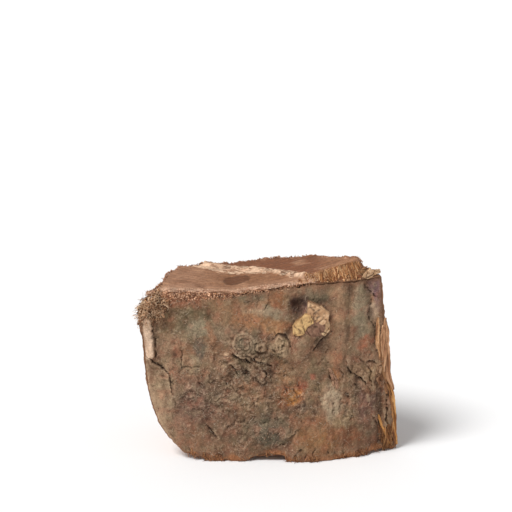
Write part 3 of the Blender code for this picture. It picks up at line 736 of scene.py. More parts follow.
def split_grain():
    """Fruit wood split along its grain: long pale and dark fibres that catch the light along their length."""
    material, tree, finish = new_material("split fruit wood long grain", 0.78, 0.25)
    tone = add(tree, "ShaderNodeAttribute", attribute_name="tone")
    # Fibres 0.5 mm wide that run 20 times as far up the grain
    shades = ((0.3, 0.66), (0.72, 1.3))
    grained(tree, finish, tone.outputs["Color"], 0.5, 20, shades, (0.7, 0.0002), Detail=4, Roughness=0.65,
            Distortion=0.2)
    return material


def torn_fibre():
    """Torn bast and wood fibres: dry, thin, paler at their tips."""
    material, tree, finish = new_material("torn fruit wood fibres", 0.8, 0.25)
    tone = add(tree, "ShaderNodeAttribute", attribute_name="tone")
    # Dust on the fibres, about 0.3 mm
    grained(tree, finish, tone.outputs["Color"], 0.3, 1, ((0.3, 0.78), (0.7, 1.2)), None, Detail=3, Roughness=0.6)
    return material


def paint(piece, tone):
    """Keeps a linear colour for each vertex, which the materials read as tone."""
    layer = piece.data.color_attributes.new("tone", "FLOAT_COLOR", "POINT")
    colours = np.column_stack([tone, np.ones(len(tone))]).astype(np.float32)
    layer.data.foreach_set("color", colours.ravel())


def points_of(piece):
    places = np.empty(len(piece.data.vertices) * 3, np.float32)
    piece.data.vertices.foreach_get("co", places)
    return places.reshape(-1, 3).astype(float)


def put(piece, places):
    """Moves each vertex to its place on the chunk, given in millimetres."""
    moved = (np.asarray(places) - MIDDLE) * MM
    piece.data.vertices.foreach_set("co", moved.astype(np.float32).ravel())
    piece.data.update()


def started(name):
    """The piece that an operator has just added, under its own name."""
    piece = bpy.context.object
    piece.name = name
    piece.data.name = name
    return piece


def alone(piece=None):
    bpy.ops.object.select_all(action="DESELECT")
    if piece:
        piece.select_set(True)
        bpy.context.view_layer.objects.active = piece


def handed_in(piece, materials, angle=None):
    """Gives a finished piece its materials and its place with the body."""
    for material in materials:
        piece.data.materials.append(material)
    alone(piece)
    if angle is None:
        bpy.ops.object.shade_smooth()
    else:
        bpy.ops.object.shade_smooth_by_angle(angle=math.radians(angle))
    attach(piece, "root")
    return piece


def from_rim(across, upward):
    """How far a point of the bark's face lies from the nearest edge of that face."""
    return np.minimum.reduce([
        across * FACE_WIDE, (1 - across) * FACE_WIDE, upward * FACE_TALL, (1 - upward) * FACE_TALL,
    ])


def cut_block():
    """A cube cut evenly along each axis."""
    alone()
    bpy.ops.mesh.primitive_cube_add(size=2)
    block = started("wood_body")
    bpy.ops.object.mode_set(mode="EDIT")
    bpy.ops.mesh.select_mode(type="EDGE")
    for axis, length in enumerate((RIGHT_FOOT - LEFT, DEPTH, NOMINAL_HEIGHT)):
        for cuts in (3, round(length / WOOD_CELL / 4) - 1):
            bpy.ops.mesh.select_all(action="DESELECT")
            shape = bmesh.from_edit_mesh(block.data)
            for edge in shape.edges:
                first, second = edge.verts
                edge.select = abs(first.co[axis] - second.co[axis]) > 1e-4
            bmesh.update_edit_mesh(block.data)
            bpy.ops.mesh.subdivide(number_cuts=cuts)
    bpy.ops.object.mode_set(mode="OBJECT")
    return block


def wood_body(end_material, split_material):
    """All the wood: the sawn ends, the split sides and back, and what the bark lies on."""
    body = cut_block()
    corner = np.round((points_of(body) + 1) / 2, 5)
    across, inward, upward = corner.T
    nominal = upward * NOMINAL_HEIGHT
    x = mix(left_edge(nominal, inward), right_edge(nominal, inward), across)
    y = mix(bark_side(x, nominal), split_back(x, nominal), inward)
    z = mix(lower_end(x, y), upper_end(x, y), upward)
    flat_x, flat_y = x.copy(), y.copy()
    front = inward == 0
    y[front] -= bark_relief(x[front], z[front])
    y[front] += BARK_THICK * ease(0.2, BARK_TUCK, from_rim(across, upward)[front])
    # The split sides and back
    for chosen, seed, steps, side in (
        (across == 0, LEFT_SEED, LEFT_STEPS, -1),
        (across == 1, RIGHT_SEED, RIGHT_STEPS, 1),
    ):
        share = side_share(inward[chosen])
        relief = split_relief(flat_y[chosen], z[chosen], seed, steps)
        x[chosen] += side * share * (relief + grain_relief(flat_y[chosen], z[chosen], seed))
    back = inward == 1
    relief = split_relief(flat_x[back], z[back], BACK_SEED, BACK_STEPS)
    y[back] += relief + grain_relief(flat_x[back], z[back], BACK_SEED)
    # The sawn ends, with the torn step across the upper one
    top = upward == 1
    past, wide = past_step(flat_x[top], flat_y[top])
    torn = ease(-0.6, 0.4, past) * ease(wide + 1.4, wide, past)
    z[top] += SAWN_ROUGHNESS * rough(flat_x[top] * 0.6, flat_y[top] * 1.4, TOP_SEED, 4.0, 4)
    z[top] += SAWN_FINE * rough(flat_x[top], flat_y[top], 3.0, 1.0, 3)
    z[top] += TORN_ROUGHNESS * torn * rough(flat_x[top] * 0.35, flat_y[top] + flat_x[top] * 0.6, 7.0, 1.1, 3)
    bottom = upward == 0
    z[bottom] += FOOT_FINE * np.abs(rough(flat_x[bottom], flat_y[bottom], 1.0, 1.2, 3))
    # Frayed rims
    rim = (np.isin(corner, (0, 1)).sum(axis=1) > 1) & (upward > 0)
    fray = FRAY * rough(x[rim], y[rim], z[rim], 2.2, 2) + FRAY_FINE * rough(x[rim], y[rim], z[rim], 0.8, 2)
    x[rim] += fray * (across[rim] - 0.5)
    y[rim] += fray * (inward[rim] - 0.5)
    z[rim] += fray * upward[rim]
    put(body, np.column_stack([x, y, z]))
    paint(body, wood_tone(x, y, z, flat_x, flat_y, across, inward, upward))
    corners = np.empty(len(body.data.loops), np.int32)
    body.data.loops.foreach_get("vertex_index", corners)
    heights = upward[corners.reshape(-1, 4)]
    on_end = np.all(heights == 0, axis=1) | np.all(heights == 1, axis=1)
    body.data.polygons.foreach_set("material_index", np.where(on_end, 0, 1).astype(np.int32))
    handed_in(body, (end_material, split_material), WOOD_SMOOTH)
    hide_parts("wood_chunk")
    return body


# The dark knot in the upper end: its middle and its half sizes
END_KNOT = (-11.2, 19.2)
END_KNOT_HALF = (4.5, 6.0)


def wood_tone(x, y, z, flat_x, flat_y, across, inward, upward):
    """Colour of the wood at each point: sapwood by the bark, heartwood behind, and each sawn facet its own, the rear
    facet of the upper end darker, partly in its own tone and partly as a painted shadow.
    """
    behind = np.minimum(flat_y - bark_side(flat_x, np.minimum(z, NOMINAL_HEIGHT)), 60.0)
    by_bark = ease(2.3, 1.2, behind + 0.5 * rough(x, y, z, 1.6))
    streak = rough(x, y, z * 0.05, 2.6, 4)
    split = tinted(
        "#B08467",
        ("#94654B", 0.75 * ease(12.0, 40.0, behind + 5 * rough(x, y, z * 0.08, 9.0))),
        ("#C9A285", 0.65 * ease(0.15, 0.7, streak)),
        ("#7E5640", 0.55 * ease(-0.15, -0.7, streak)),
        ("#8C7460", 0.45 * ease(0.2, 0.7, rough(x, y, z * 0.35, 14.0, 4))),
    )

    on_top = upward == 1
    past, wide = past_step(flat_x, flat_y)
    left_end = ease(-12.0, -30.0, flat_x + 3.0 * rough(flat_x, flat_y, 12.0, 6.0))
    patch = rough(flat_x, flat_y, 8.0, 7.0, 4)
    ramp = ease(-0.6, 0.5, past) * ease(wide + 1.6, wide + 0.2, past)
    torn = rough(flat_x * 0.3, flat_y + flat_x * 0.6, 7.0, 0.9, 3)
    knot = away(flat_x, flat_y, END_KNOT, END_KNOT_HALF) + 0.06 * rough(flat_x, flat_y, 2.0, 2.0)
    bast = ease(9.0, 14.0, flat_x) * ease(33.0, 31.0, flat_x)
    bast = bast * ease(5.6, 4.2, behind + rough(flat_x, flat_y, 6.0, 2.0))
    cut = tinted(
        "#8F6549",
        # The rear facet behind the torn step: darker, partly its own tone and partly a painted shadow
        ("#7D5039", 0.85 * ease(0.3, 2.0, past - wide) * on_top),
        ("#A67A5B", 0.8 * ease(14.0, 26.0, flat_x) * on_top),
        ("#A98066", 0.6 * left_end * on_top),
        ("#B88F74", 0.5 * ease(14.0, 3.0, behind) * ease(0.5, -1.5, past) * on_top),
        ("#AD8467", 0.6 * ease(0.1, 0.7, patch)),
        ("#78523C", 0.5 * ease(-0.1, -0.7, patch)),
        ("#DFBC9E", 0.95 * ramp * ease(-1.0, -0.1, torn) * on_top),
        ("#8A6049", 0.45 * ramp * ease(-0.3, -0.8, torn) * on_top),
        ("#6B4631", 0.9 * ease(1.04, 0.88, knot) * on_top),
        ("#4E3325", 0.7 * hump(knot - 1.0, 0.07) * on_top),
        ("#C09A7E", 0.9 * ease(5.5, 1.5, behind + 1.2 * rough(flat_x, flat_y, 4.0, 3.0)) * on_top),
        ("#85502F", 0.85 * bast * on_top),
        ("#8A5638", 0.55 * by_bark),
    )

    end = on_top | (upward == 0)
    side = ~end & (inward > 0)
    tone = tinted(
        np.where(end[:, None], cut, split),
        ("#84604A", 0.8 * by_bark * side),
        ("#A88A6E", 0.6 * by_bark * side * (across == 0)),
        ("#866249", 1.0 * (inward == 0)),
    )
    return tone * (1 + 0.22 * rough(x, y, z, 1.1, 3))[:, None]


def small_cracks(draw):
    """Short hairline cracks: up the grain on the right, every way on the left."""
    found = []
    for _ in range(SMALL_CRACKS):
        x, z = draw.uniform(-40, 40), draw.uniform(3, 60)
        heading = math.radians(draw.gauss(90, 18 if x > 14 else 55))
        line = [(x, z)]
        for _ in range(draw.randint(2, 4)):
            heading += draw.gauss(0, 0.35)
            step = draw.uniform(1.0, 2.6)
            x, z = x + step * math.cos(heading), z + step * math.sin(heading)
            line.append((x, z))
        found.append((draw.uniform(*SMALL_CRACK_HALF), draw.uniform(*SMALL_CRACK_DEEP), 0.0, tuple(line)))
    return tuple(found)


def capsule(x, z, ends, radius):
    """1 inside a long rounded patch, with a steep edge."""
    off, _ = along_line(x, z, ends)
    return ease(radius, radius * 0.72, off)


def crust(x, z):
    """The fine crust of the bark: how far it stands out, how much dirt and painted shade lie in its cracks, checks
    and hollows, and its light threads.
    """
    wander_x = 0.5 * rough(x, 11.0, z, 1.6)
    wander_z = 0.5 * rough(x, 17.0, z, 1.6)
    wx, wz = x + wander_x, z + wander_z
    swirl_x = x + 3.0 * rough(x, 13.0, z, 7.0, 2) + 2.0 * wander_x
    swirl_z = z + 3.0 * rough(x, 19.0, z, 7.0, 2) + 2.0 * wander_z
    scabby = np.clip(humps(x, z, CRUSTS), 0.1, 1.0)
    # Lumps and worm-like ridges that swirl, most of all where the bark is scabby
    out = 0.2 * (0.3 + scabby) * rough(x, 2.0, z, 2.2, 4)
    out += 0.6 * (0.3 + 0.7 * scabby) * rough(swirl_x, 3.0, swirl_z, 4.5, 3)
    worms = 1 - 3.0 * np.abs(rough(swirl_x, 31.0, swirl_z, 1.9, 2))
    out += 0.28 * scabby * worms
    # Light threads
    threads = hump(rough(swirl_x, 45.0, swirl_z * 1.4, 1.5, 2), 0.07) * ease(-0.3, 0.3, rough(x, 47.0, z, 4.0, 2))
    out += 0.1 * threads
    # Streaks up the grain on the right
    streaks = rough(x + wander_x, 41.0, z * 0.2, 1.2, 4)
    lengthwise = ease(10.0, 22.0, x) * ease(46.0, 34.0, z) + 0.5 * ease(16.0, 26.0, x)
    out += 0.24 * lengthwise * streaks
    # Scabs, and the broken checks that part them
    _, level = scabs(x + 2.5 * wander_x, 5.0, z * 0.8 + 2.5 * wander_z, 2.8)
    out += 0.2 * scabby * level
    upright = mix(1.0, 0.4, ease(10.0, 24.0, x))
    parting = np.abs(rough(x + wander_x, 33.0, z * upright + wander_z, 3.4, 3))
    broken = ease(-0.05, 0.35, rough(x, 35.0, z, 5.0, 3))
    checks = hump(parting, 0.03) * broken * (0.15 + 0.75 * scabby)
    out -= 0.35 * checks
    # Dirt and painted shade in the broken checks and in the troughs between the worm-like ridges
    dirt_and_shade = 0.6 * checks + 0.3 * scabby * ease(0.2, -0.9, worms)
    # Cracks, each with one lifted side, and short hairlines, painted dark with dirt and shade by their depth
    kept = ease(-0.75, 0.0, rough(x, 53.0, z, 1.5, 3))
    for half, deep, lift, line in CRACKS + small_cracks(random.Random(5)):
        off, side = along_line(wx, wz, line)
        ragged = half * (0.75 + 1.4 * wander_z)
        near = hump(off, ragged) * kept
        out -= deep * near
        out += abs(lift) * np.exp(-off / 2.2) * (side * np.sign(lift) > 0) if lift else 0.0
        dirt_and_shade = np.maximum(dirt_and_shade, min(0.85, deep / 1.2) * near)
    # Knots, hollows painted dark with shade, and the pale strip at the left
    out += knots(x, z, wx, wz)
    over_stub = np.hypot(x - STUB_HOLLOW[0] + 2.0 * (swirl_x - x), (z - STUB_HOLLOW[1]) * 1.1 + 2.0 * (swirl_z - z))
    from_pit = away(wx, wz, BLACK_PIT)
    left_pit = np.hypot((wx - LEFT_PIT[0]) * 1.7, wz - LEFT_PIT[1])
    hollows = (0.6 * ease(3.2, 1.6, over_stub), 0.95 * hump(from_pit, 1.0), 0.8 * hump(left_pit, 1.5))
    dirt_and_shade = np.maximum.reduce([dirt_and_shade, *hollows])
    out -= 1.2 * hump(from_pit, 1.1)
    out += 0.7 * capsule(wx, wz, PALE_STRIP, PALE_STRIP_RAISED)
    return out, np.clip(dirt_and_shade, 0.0, 1.0), threads * (0.25 + 0.75 * scabby)


# Knots of the bark: middles, half sizes of the round one, and its rings
ROUND_KNOT = (-7.8, 42.8)
ROUND_KNOT_HALF = (4.6, 5.2)
KNOT_EYE = (-8.3, 43.4)
KNOT_RINGS = (0.8, 1.9, 3.0)
KNOT_OUTER_RING = 4.1
RING_KNOT = (-2.6, 42.5)
LUMPY_KNOT = (4.3, 42.7)
LUMPY_KNOT_CURL = (3.6, 44.6)


def knots(x, z, wx, wz):
    """Rings of the round knot, the small ring knot beside it, and the lumpy one on the right."""
    bent_x, bent_z = x + 1.8 * (wx - x), z + 1.8 * (wz - z)
    round_knot = away(bent_x, bent_z, ROUND_KNOT, ROUND_KNOT_HALF)
    from_eye = np.hypot(x + 0.8 * (wx - x) - KNOT_EYE[0], (z + 0.8 * (wz - z) - KNOT_EYE[1]) * 0.92)
    rings = sum(hump(from_eye - radius, 0.24) for radius in KNOT_RINGS)
    rings = rings + 0.8 * hump(from_eye - KNOT_OUTER_RING, 0.26)
    out = 0.8 * ease(1.1, 0.8, round_knot) - 0.3 * hump(round_knot - 1.1, 0.09) * ease(46.0, 40.0, z)
    out = out - 0.36 * rings
    small = away(wx, wz, RING_KNOT)
    out = out + 0.6 * hump(small - 1.2, 0.4) - 0.5 * hump(small - 2.0, 0.35) - 0.5 * hump(small, 0.5)
    lumpy = np.hypot(bent_x - LUMPY_KNOT[0], (bent_z - LUMPY_KNOT[1]) * 0.9)
    from_curl = away(bent_x, bent_z, LUMPY_KNOT_CURL)
    curl = hump(from_curl - 1.5, 0.45) - 0.8 * hump(from_curl, 0.8)
    return out + 0.9 * ease(4.2, 2.2, lumpy) * (0.6 + 0.9 * rough(x, 51.0, z, 1.5, 3)) + 0.6 * curl


def bark_tone(x, z, dirt_and_shade, threads, fine, raised):
    """Colour of the bark at each point, with painted highlight on its crests and painted shade in its hollows: fine
    and raised say how far it stands over what lies round it.
    """
    ragged = 1.5 * rough(x, 61.0, z, 6.0, 2) + 0.7 * rough(x, 63.0, z, 2.0, 3)
    ragged_too = 1.5 * rough(x, 67.0, z, 6.0, 2) + 0.7 * rough(x, 69.0, z, 2.0, 3)
    speckle = rough(x, 71.0, z, 1.2, 3)
    uneven = np.clip(1.0 + 0.6 * rough(x, 75.0, z * 0.6, 1.8, 3), 0.45, 1.0)
    tone = tinted(
        BROWN,
        ("#92755B", 0.7 * ease(0.0, 0.6, rough(x, 73.0, z, 9.0, 3))),
        ("#6E5140", 0.7 * ease(0.0, -0.6, rough(x, 79.0, z, 7.0, 3))),
    )
    for at_x, at_z, half_x, half_z, turn, colour, much in STAINS:
        off_x, off_z = x + ragged - at_x, z + ragged_too - at_z
        c, s = math.cos(math.radians(turn)), math.sin(math.radians(turn))
        far = np.hypot((off_x * c + off_z * s) / half_x, (off_z * c - off_x * s) / half_z)
        tone = toward(tone, colour, much * ease(1.35, 0.5, far + 0.16 * speckle) * uneven)
    warm = rough(x, 87.0, z, 3.2, 4)
    tone = tinted(tone, ("#97604A", 0.32 * ease(0.05, 0.6, warm)), ("#6E684F", 0.28 * ease(-0.05, -0.6, warm)))
    tone = tone * (0.97 + 0.24 * rough(x, 101.0, z, 5.0, 3) + 0.12 * rough(x, 103.0, z, 1.6, 2))[:, None]
    pale_strip = capsule(x, z, PALE_STRIP, PALE_STRIP_PAINTED)
    fleck = rough(x, 83.0, z, 0.7, 3)
    return tinted(
        tone,
        ("#DBBCA2", 0.9 * pale_strip),
        # Painted highlight where the bark stands over what lies round it and painted shade where it lies below, at a
        # middle and a fine scale
        ("#B59A7C", 0.3 * ease(0.1, 0.9, raised)),
        ("#46332A", 0.6 * ease(-0.1, -0.9, raised)),
        ("#B59A7E", 0.35 * ease(0.05, 0.4, fine)),
        ("#4A3528", 0.5 * ease(-0.05, -0.45, fine)),
        ("#C2AB92", 0.5 * threads),
        ("#AB8469", 0.7 * pale_strip * ease(0.0, 0.6, rough(x, 97.0, z * 0.16, 0.7, 3))),
        ("#B89D80", 0.3 * ease(0.25, 0.65, fleck)),
        ("#54402F", 0.3 * ease(-0.25, -0.65, fleck)),
        # Dirt and painted shade in the cracks, checks and hollows
        (SOOT_AND_SHADE, 0.9 * dirt_and_shade),
    )


def spread_out(grid, times):
    """A grid of heights, blurred by its neighbours this many times."""
    for _ in range(times):
        edged = np.pad(grid, 1, mode="edge")
        grid = (edged[:-2, 1:-1] + edged[2:, 1:-1] + edged[1:-1, :-2] + edged[1:-1, 2:] + grid) / 5
    return grid


def bark_skin(material):
    """The bark, a sheet with a ragged border that lies on the front of the wood."""
    columns = round((RIGHT_FOOT - LEFT) / BARK_CELL)
    rows = round(NOMINAL_HEIGHT / BARK_CELL)
    alone()
    bpy.ops.mesh.primitive_grid_add(x_subdivisions=columns, y_subdivisions=rows, size=2)
    skin = started("bark_skin")
    share = np.round((points_of(skin)[:, :2] + 1) / 2, 6)
    order = np.lexsort((share[:, 0], share[:, 1]))
    across, upward = share.T
    wide, tall = across * FACE_WIDE, upward * FACE_TALL
    bare = 0.7 * rough(wide, 91.0, tall, 3.0, 4) + 0.2 * rough(wide, 93.0, tall, 0.8, 2)
    low = (0.4 + 0.5 * bare) / FACE_TALL
    high = (1.0 + 0.9 * bare) / FACE_TALL
    upward = mix(low, 1 - high, upward)
    across = mix(0.004 + 0.004 * bare, 0.994 + 0.004 * bare, across)
    nominal = upward * NOMINAL_HEIGHT
    x = mix(left_edge(nominal, 0.0), right_edge(nominal, 0.0), across)
    near = bark_side(x, nominal)
    z = mix(lower_end(x, near), upper_end(x, near), upward)
    fine, dirt_and_shade, threads = crust(x, z)
    to_rim = from_rim(*share.T)
    fine = fine * ease(-0.6, 1.6, to_rim) + 0.25
    y = near - bark_relief(x, z) - fine
    # How far each point stands over its blurred surroundings, at a fine and a middle scale; the bark's colour takes
    # painted highlight and painted shade from these
    over = []
    for heights, times in ((fine, 14), (near - y, 120)):
        grid = heights[order].reshape(rows + 1, columns + 1)
        stands = np.empty(len(x))
        stands[order] = (grid - spread_out(grid, times)).ravel()
        over.append(stands)
    put(skin, np.column_stack([x, y, z]))
    torn_rim = ease(1.5, 0.1, to_rim + 1.2 * bare + 0.9 * rough(x, 95.0, z, 5.0, 3))
    torn_foot = ease(2.6, 0.4, tall + 2.2 * bare) * ease(-0.15, 0.3, rough(x, 107.0, z, 9.0, 2) + 0.012 * x)
    paint(skin, tinted(
        bark_tone(x, z, dirt_and_shade, threads, *over),
        ("#7E5B45", 0.6 * torn_rim),
        ("#B09478", 0.75 * torn_rim * ease(-20.0, -28.0, x) * ease(40.0, 34.0, z) * ease(3.0, 8.0, z)),
        ("#9C6743", 0.75 * torn_foot),
    ))
    bpy.ops.object.mode_set(mode="EDIT")
    bpy.ops.mesh.select_all(action="SELECT")
    bpy.ops.mesh.region_to_loop()
    bpy.ops.mesh.extrude_region_move(TRANSFORM_OT_translate={"value": (0, BARK_BACK * MM, 0)})
    bpy.ops.mesh.edge_face_add()
    bpy.ops.object.mode_set(mode="OBJECT")
    return handed_in(skin, (material,), BARK_SMOOTH)


def slab(outline, stands_out, thick, lean, colours, cells, seed):
    """A torn block or flake, its outline drawn from the front, with broken edges and a cracked face."""
    alone()
    upright = (math.pi / 2, 0, 0)
    bpy.ops.mesh.primitive_circle_add(vertices=len(outline), radius=1, fill_type="NGON", rotation=upright)
    block = bpy.context.object
    bpy.ops.object.transform_apply(location=True, rotation=True, scale=True)
    x, z = np.array(outline[::-1]).T
    middle_x, middle_z = x.mean(), z.mean()
    y = bark_side(x, z) - stands_out - lean[0] * (z - middle_z) - lean[1] * (x - middle_x)
    block.data.vertices.foreach_set("co", np.column_stack([x, y, z]).astype(np.float32).ravel())
    bpy.ops.object.mode_set(mode="EDIT")
    bpy.ops.mesh.select_all(action="SELECT")
    bpy.ops.mesh.extrude_region_move(TRANSFORM_OT_translate={"value": (0, thick, 0)})
    bpy.ops.mesh.select_all(action="SELECT")
    bpy.ops.mesh.normals_make_consistent(inside=False)
    bpy.ops.mesh.bevel(offset=SLAB_BEVEL, segments=1, affect="EDGES")
    bpy.ops.mesh.quads_convert_to_tris()
    bpy.ops.mesh.subdivide(number_cuts=SLAB_CUTS)
    bpy.ops.object.mode_set(mode="OBJECT")
    places = points_of(block)
    normals = np.empty(len(places) * 3, np.float32)
    block.data.vertices.foreach_get("normal", normals)
    x, y, z = places.T
    gap, level = scabs(x + 0.3 * rough(x, y, z, 1.5), y + seed, z + 0.3 * rough(x, y + 5.0, z, 1.5), cells)
    crack = hump(gap, 0.14)
    grit = rough(x, y, z, 0.8, 3)
    back_from = y - bark_side(x, z) + stands_out + lean[0] * (z - middle_z) + lean[1] * (x - middle_x)
    torn = ease(0.15 * thick, 0.6 * thick, back_from) * rough(x, y * 0.4, z, 2.4, 3)
    out = 0.16 * level + 0.08 * grit - 0.35 * crack + 0.6 * torn
    put(block, places + normals.reshape(-1, 3) * out[:, None])
    paint(block, tinted(
        colours[0],
        (colours[1], ease(0.0, 0.6, rough(x, y + seed, z, 1.6, 4))),
        (colours[2], ease(0.0, 0.5, level - grit)),
        # Painted shade in the cracks between the blocks and on the sides and back, deepest towards the bark
        ("#4E3728", 0.85 * crack),
        ("#5B3D2A", 0.85 * ease(0.25 * thick, 0.9 * thick, back_from)),
    ))
    return block


def slabs(name, shapes, material, seed):
    """Several slabs as one piece."""
    made = [slab(*shape, seed + number) for number, shape in enumerate(shapes)]
    alone(made[0])
    for block in made[1:]:
        block.select_set(True)
    bpy.ops.object.join()
    piece = started(name)
    return handed_in(piece, (material,), TORN_SMOOTH)


def ribbon(material, name, heights, out, lean, back, width, twist, colours):
    """A strip of inner bark that has come half away: it runs down the grain, curls and tears to a point."""
    alone()
    bpy.ops.mesh.primitive_grid_add(x_subdivisions=STRIP_CELLS[0], y_subdivisions=STRIP_CELLS[1], size=2)
    strip = started(name)
    seed = 7.0 * heights[1] + 3.0 * out
    u, t = ((points_of(strip)[:, :2] + 1) / 2).T
    t = np.clip(t + 0.02 * rough(u * 3.0, seed + 9, 0.0 * t, 0.6, 2), 0.0, 1.0)
    z = mix(*heights, t)
    taper = np.minimum(1.0, 0.25 + 3.5 * np.minimum(t, 1 - t)) * (1 + 0.25 * rough(0.0 * t, seed, z, 4.0, 3))
    side = (u - 0.5) * width * taper
    turn = np.radians(mix(*twist, t)) + 0.5 * rough(0.0 * t, seed + 3, z, 9.0, 2)
    wave = 0.6 * rough(0.0 * t, seed + 6, z, 7.0, 3)
    edge = right_edge(z, 0.0)
    x = edge + out + lean * (z - heights[0]) + side * np.cos(turn) + wave
    y = bark_side(edge, z) + back + side * np.sin(turn) - 0.6 * width * (u - 0.5) ** 2
    fibres_along = rough(u * width * 2.2, seed, z * 0.14, 1.0, 3)
    y = y - 0.25 * fibres_along - 0.2 * rough(x, y, z, 2.0, 3)
    put(strip, np.column_stack([x, y, z]))
    dark, light = ease(0.0, 0.45, -fibres_along), ease(0.0, 0.45, fibres_along)
    paint(strip, tinted(colours[0], (colours[1], dark), (colours[2], light)))
    wall = strip.modifiers.new("wall", "SOLIDIFY")
    wall.thickness = STRIP_THICK * MM
    wall.offset = 0
    alone(strip)
    bpy.ops.object.modifier_apply(modifier="wall")
    return handed_in(strip, (material,), TORN_SMOOTH)


def fibre_pattern(sides, stretches):
    """One fibre modelled upright, as ring places, shares of its length, and faces."""
    alone()
    bpy.ops.mesh.primitive_cone_add(vertices=sides, radius1=1, radius2=0.25, depth=1, location=(0, 0, 0.5))
    fibre = bpy.context.object
    bpy.ops.object.transform_apply(location=True, rotation=True, scale=True)
    bpy.ops.object.mode_set(mode="EDIT")
    bpy.ops.mesh.select_mode(type="EDGE")
    bpy.ops.mesh.select_all(action="DESELECT")
    shape = bmesh.from_edit_mesh(fibre.data)
    for edge in shape.edges:
        edge.select = abs(edge.verts[0].co.z - edge.verts[1].co.z) > 0.5
    bmesh.update_edit_mesh(fibre.data)
    bpy.ops.mesh.subdivide(number_cuts=stretches - 1)
    bpy.ops.object.mode_set(mode="OBJECT")
    places = points_of(fibre)
    faces = [tuple(face.vertices) for face in fibre.data.polygons]
    bpy.data.objects.remove(fibre)
    return places[:, :2], places[:, 2], faces


def unit(arrows):
    return arrows / np.maximum(np.linalg.norm(arrows, axis=1), 1e-9)[:, None]


def copies(name, material, places, faces, colours, shade, draw):
    """One mesh of many copies of a modelled shape: places has a row of points for each copy."""
    count, size = places.shape[:2]
    places = places.reshape(-1, 3)
    places[:, 2] = np.maximum(places[:, 2], FIBRE_LOWEST)
    joined = [tuple(vertex + size * number for vertex in face) for number in range(count) for face in faces]
    mesh = bpy.data.meshes.new(name)
    mesh.from_pydata(places.tolist(), [], joined)
    piece = bpy.data.objects.new(name, mesh)
    bpy.context.scene.collection.objects.link(piece)
    put(piece, places)
    palette = np.array([linear(colour) for colour in colours])
    middle = places.reshape(count, size, 3).mean(1)
    tufts = 1.0 + 0.35 * rough(*middle.T, 2.4, 2) + 0.2 * rough(*middle.T, 9.0, 2)
    own = palette[draw.integers(0, len(palette), count)] * (draw.uniform(0.85, 1.12, count) * tufts)[:, None]
    paint(piece, (own[:, None, :] * shade).reshape(-1, 3))
    return handed_in(piece, (material,))


def fibres(name, patterns, material, roots, headings):
    """Many copies of a fibre, each with its own length, bend and colour."""
    pattern, lengths, widths, curl, flat, seed, colours = FIBRES[name]
    draw = np.random.default_rng(seed)
    ring, along, faces = patterns[pattern]
    count = len(roots)
    heading = unit(np.asarray(headings, float))
    aside = unit(np.cross(heading, unit(draw.normal(size=(count, 3)))))
    third = np.cross(heading, aside)
    bend = aside * draw.normal(0, curl, (count, 1)) + third * draw.normal(0, curl, (count, 1))
    long = draw.uniform(*lengths, count)[:, None, None]
    wide = draw.uniform(*widths, count)[:, None, None] / 2
    t = along[None, :, None]
    twist = draw.uniform(0, 2 * math.pi, count)[:, None]
    coil = curl * 0.35 * long[:, :, 0] * (np.sin(twist + 5 * along[None, :]) - np.sin(twist))
    spine = roots[:, None, :] + heading[:, None, :] * long * t + bend[:, None, :] * long * t**2
    spine = spine + aside[:, None, :] * coil[:, :, None]
    body = aside[:, None, :] * ring[None, :, 0:1] + third[:, None, :] * ring[None, :, 1:2] * flat
    return copies(name, material, spine + body * wide, faces, colours, 0.72 + 0.38 * t, draw)


def crumb_pattern():
    """One crumb, as its points and faces."""
    alone()
    bpy.ops.mesh.primitive_ico_sphere_add(subdivisions=1, radius=1)
    crumb = bpy.context.object
    places = points_of(crumb)
    faces = [tuple(face.vertices) for face in crumb.data.polygons]
    bpy.data.objects.remove(crumb)
    return places, faces


def crumbs(name, pattern, material, centres):
    """Many copies of the crumb, each with its own size, turn and shape: saw dust and torn bits."""
    sizes, seed, colours = CRUMBS[name]
    draw = np.random.default_rng(seed)
    ball, faces = pattern
    count = len(centres)
    first = unit(draw.normal(size=(count, 3)))
    second = unit(np.cross(first, unit(draw.normal(size=(count, 3)))))
    third = np.cross(first, second)
    size = draw.uniform(*sizes, (count, 1)) / 2
    shape = ball[None] * (draw.uniform(0.45, 1.35, (count, 3)) * size)[:, None, :]
    shape = shape * draw.uniform(0.65, 1.3, (count, len(ball), 1))
    body = sum(shape[:, :, axis : axis + 1] * arrow[:, None, :] for axis, arrow in enumerate((first, second, third)))
    shade = draw.uniform(0.82, 1.12, (count, len(ball), 1))
    return copies(name, material, centres[:, None, :] + body, faces, colours, shade, draw)


def aimed(draw, count, *axes):
    """Headings for fibres, from a mean and a spread along each axis. With no spread nothing is drawn."""
    return np.column_stack([
        draw.normal(mean, spread, count) if spread else np.full(count, float(mean)) for mean, spread in axes
    ])


# Each of these says where some kinds of crumbs and fibres sit, and which way the fibres point


def saw_wool(draw):
    """Wool and threads that the saw left along the front rim of the upper end."""
    count = 10500
    x = draw.uniform(-42, 16, count)
    y = bark_side(x, NOMINAL_HEIGHT) + draw.triangular(-0.5, 0.4, 5.0, count)
    centres = np.column_stack([x, y, upper_end(x, y) + draw.uniform(-0.15, 0.1, count)])
    yield "saw_wool", centres[rough(x, y, 9.0, 3.0, 2) > -0.25], None
    count = 600
    x = draw.uniform(-42, 16, count)
    y = bark_side(x, NOMINAL_HEIGHT) + draw.triangular(-0.5, 0.4, 4.0, count)
    roots = np.column_stack([x, y, upper_end(x, y) - 0.1])
    yield "saw_threads", roots, aimed(draw, count, (0, 1), (-0.2, 0.8), (-0.1, 0.2))


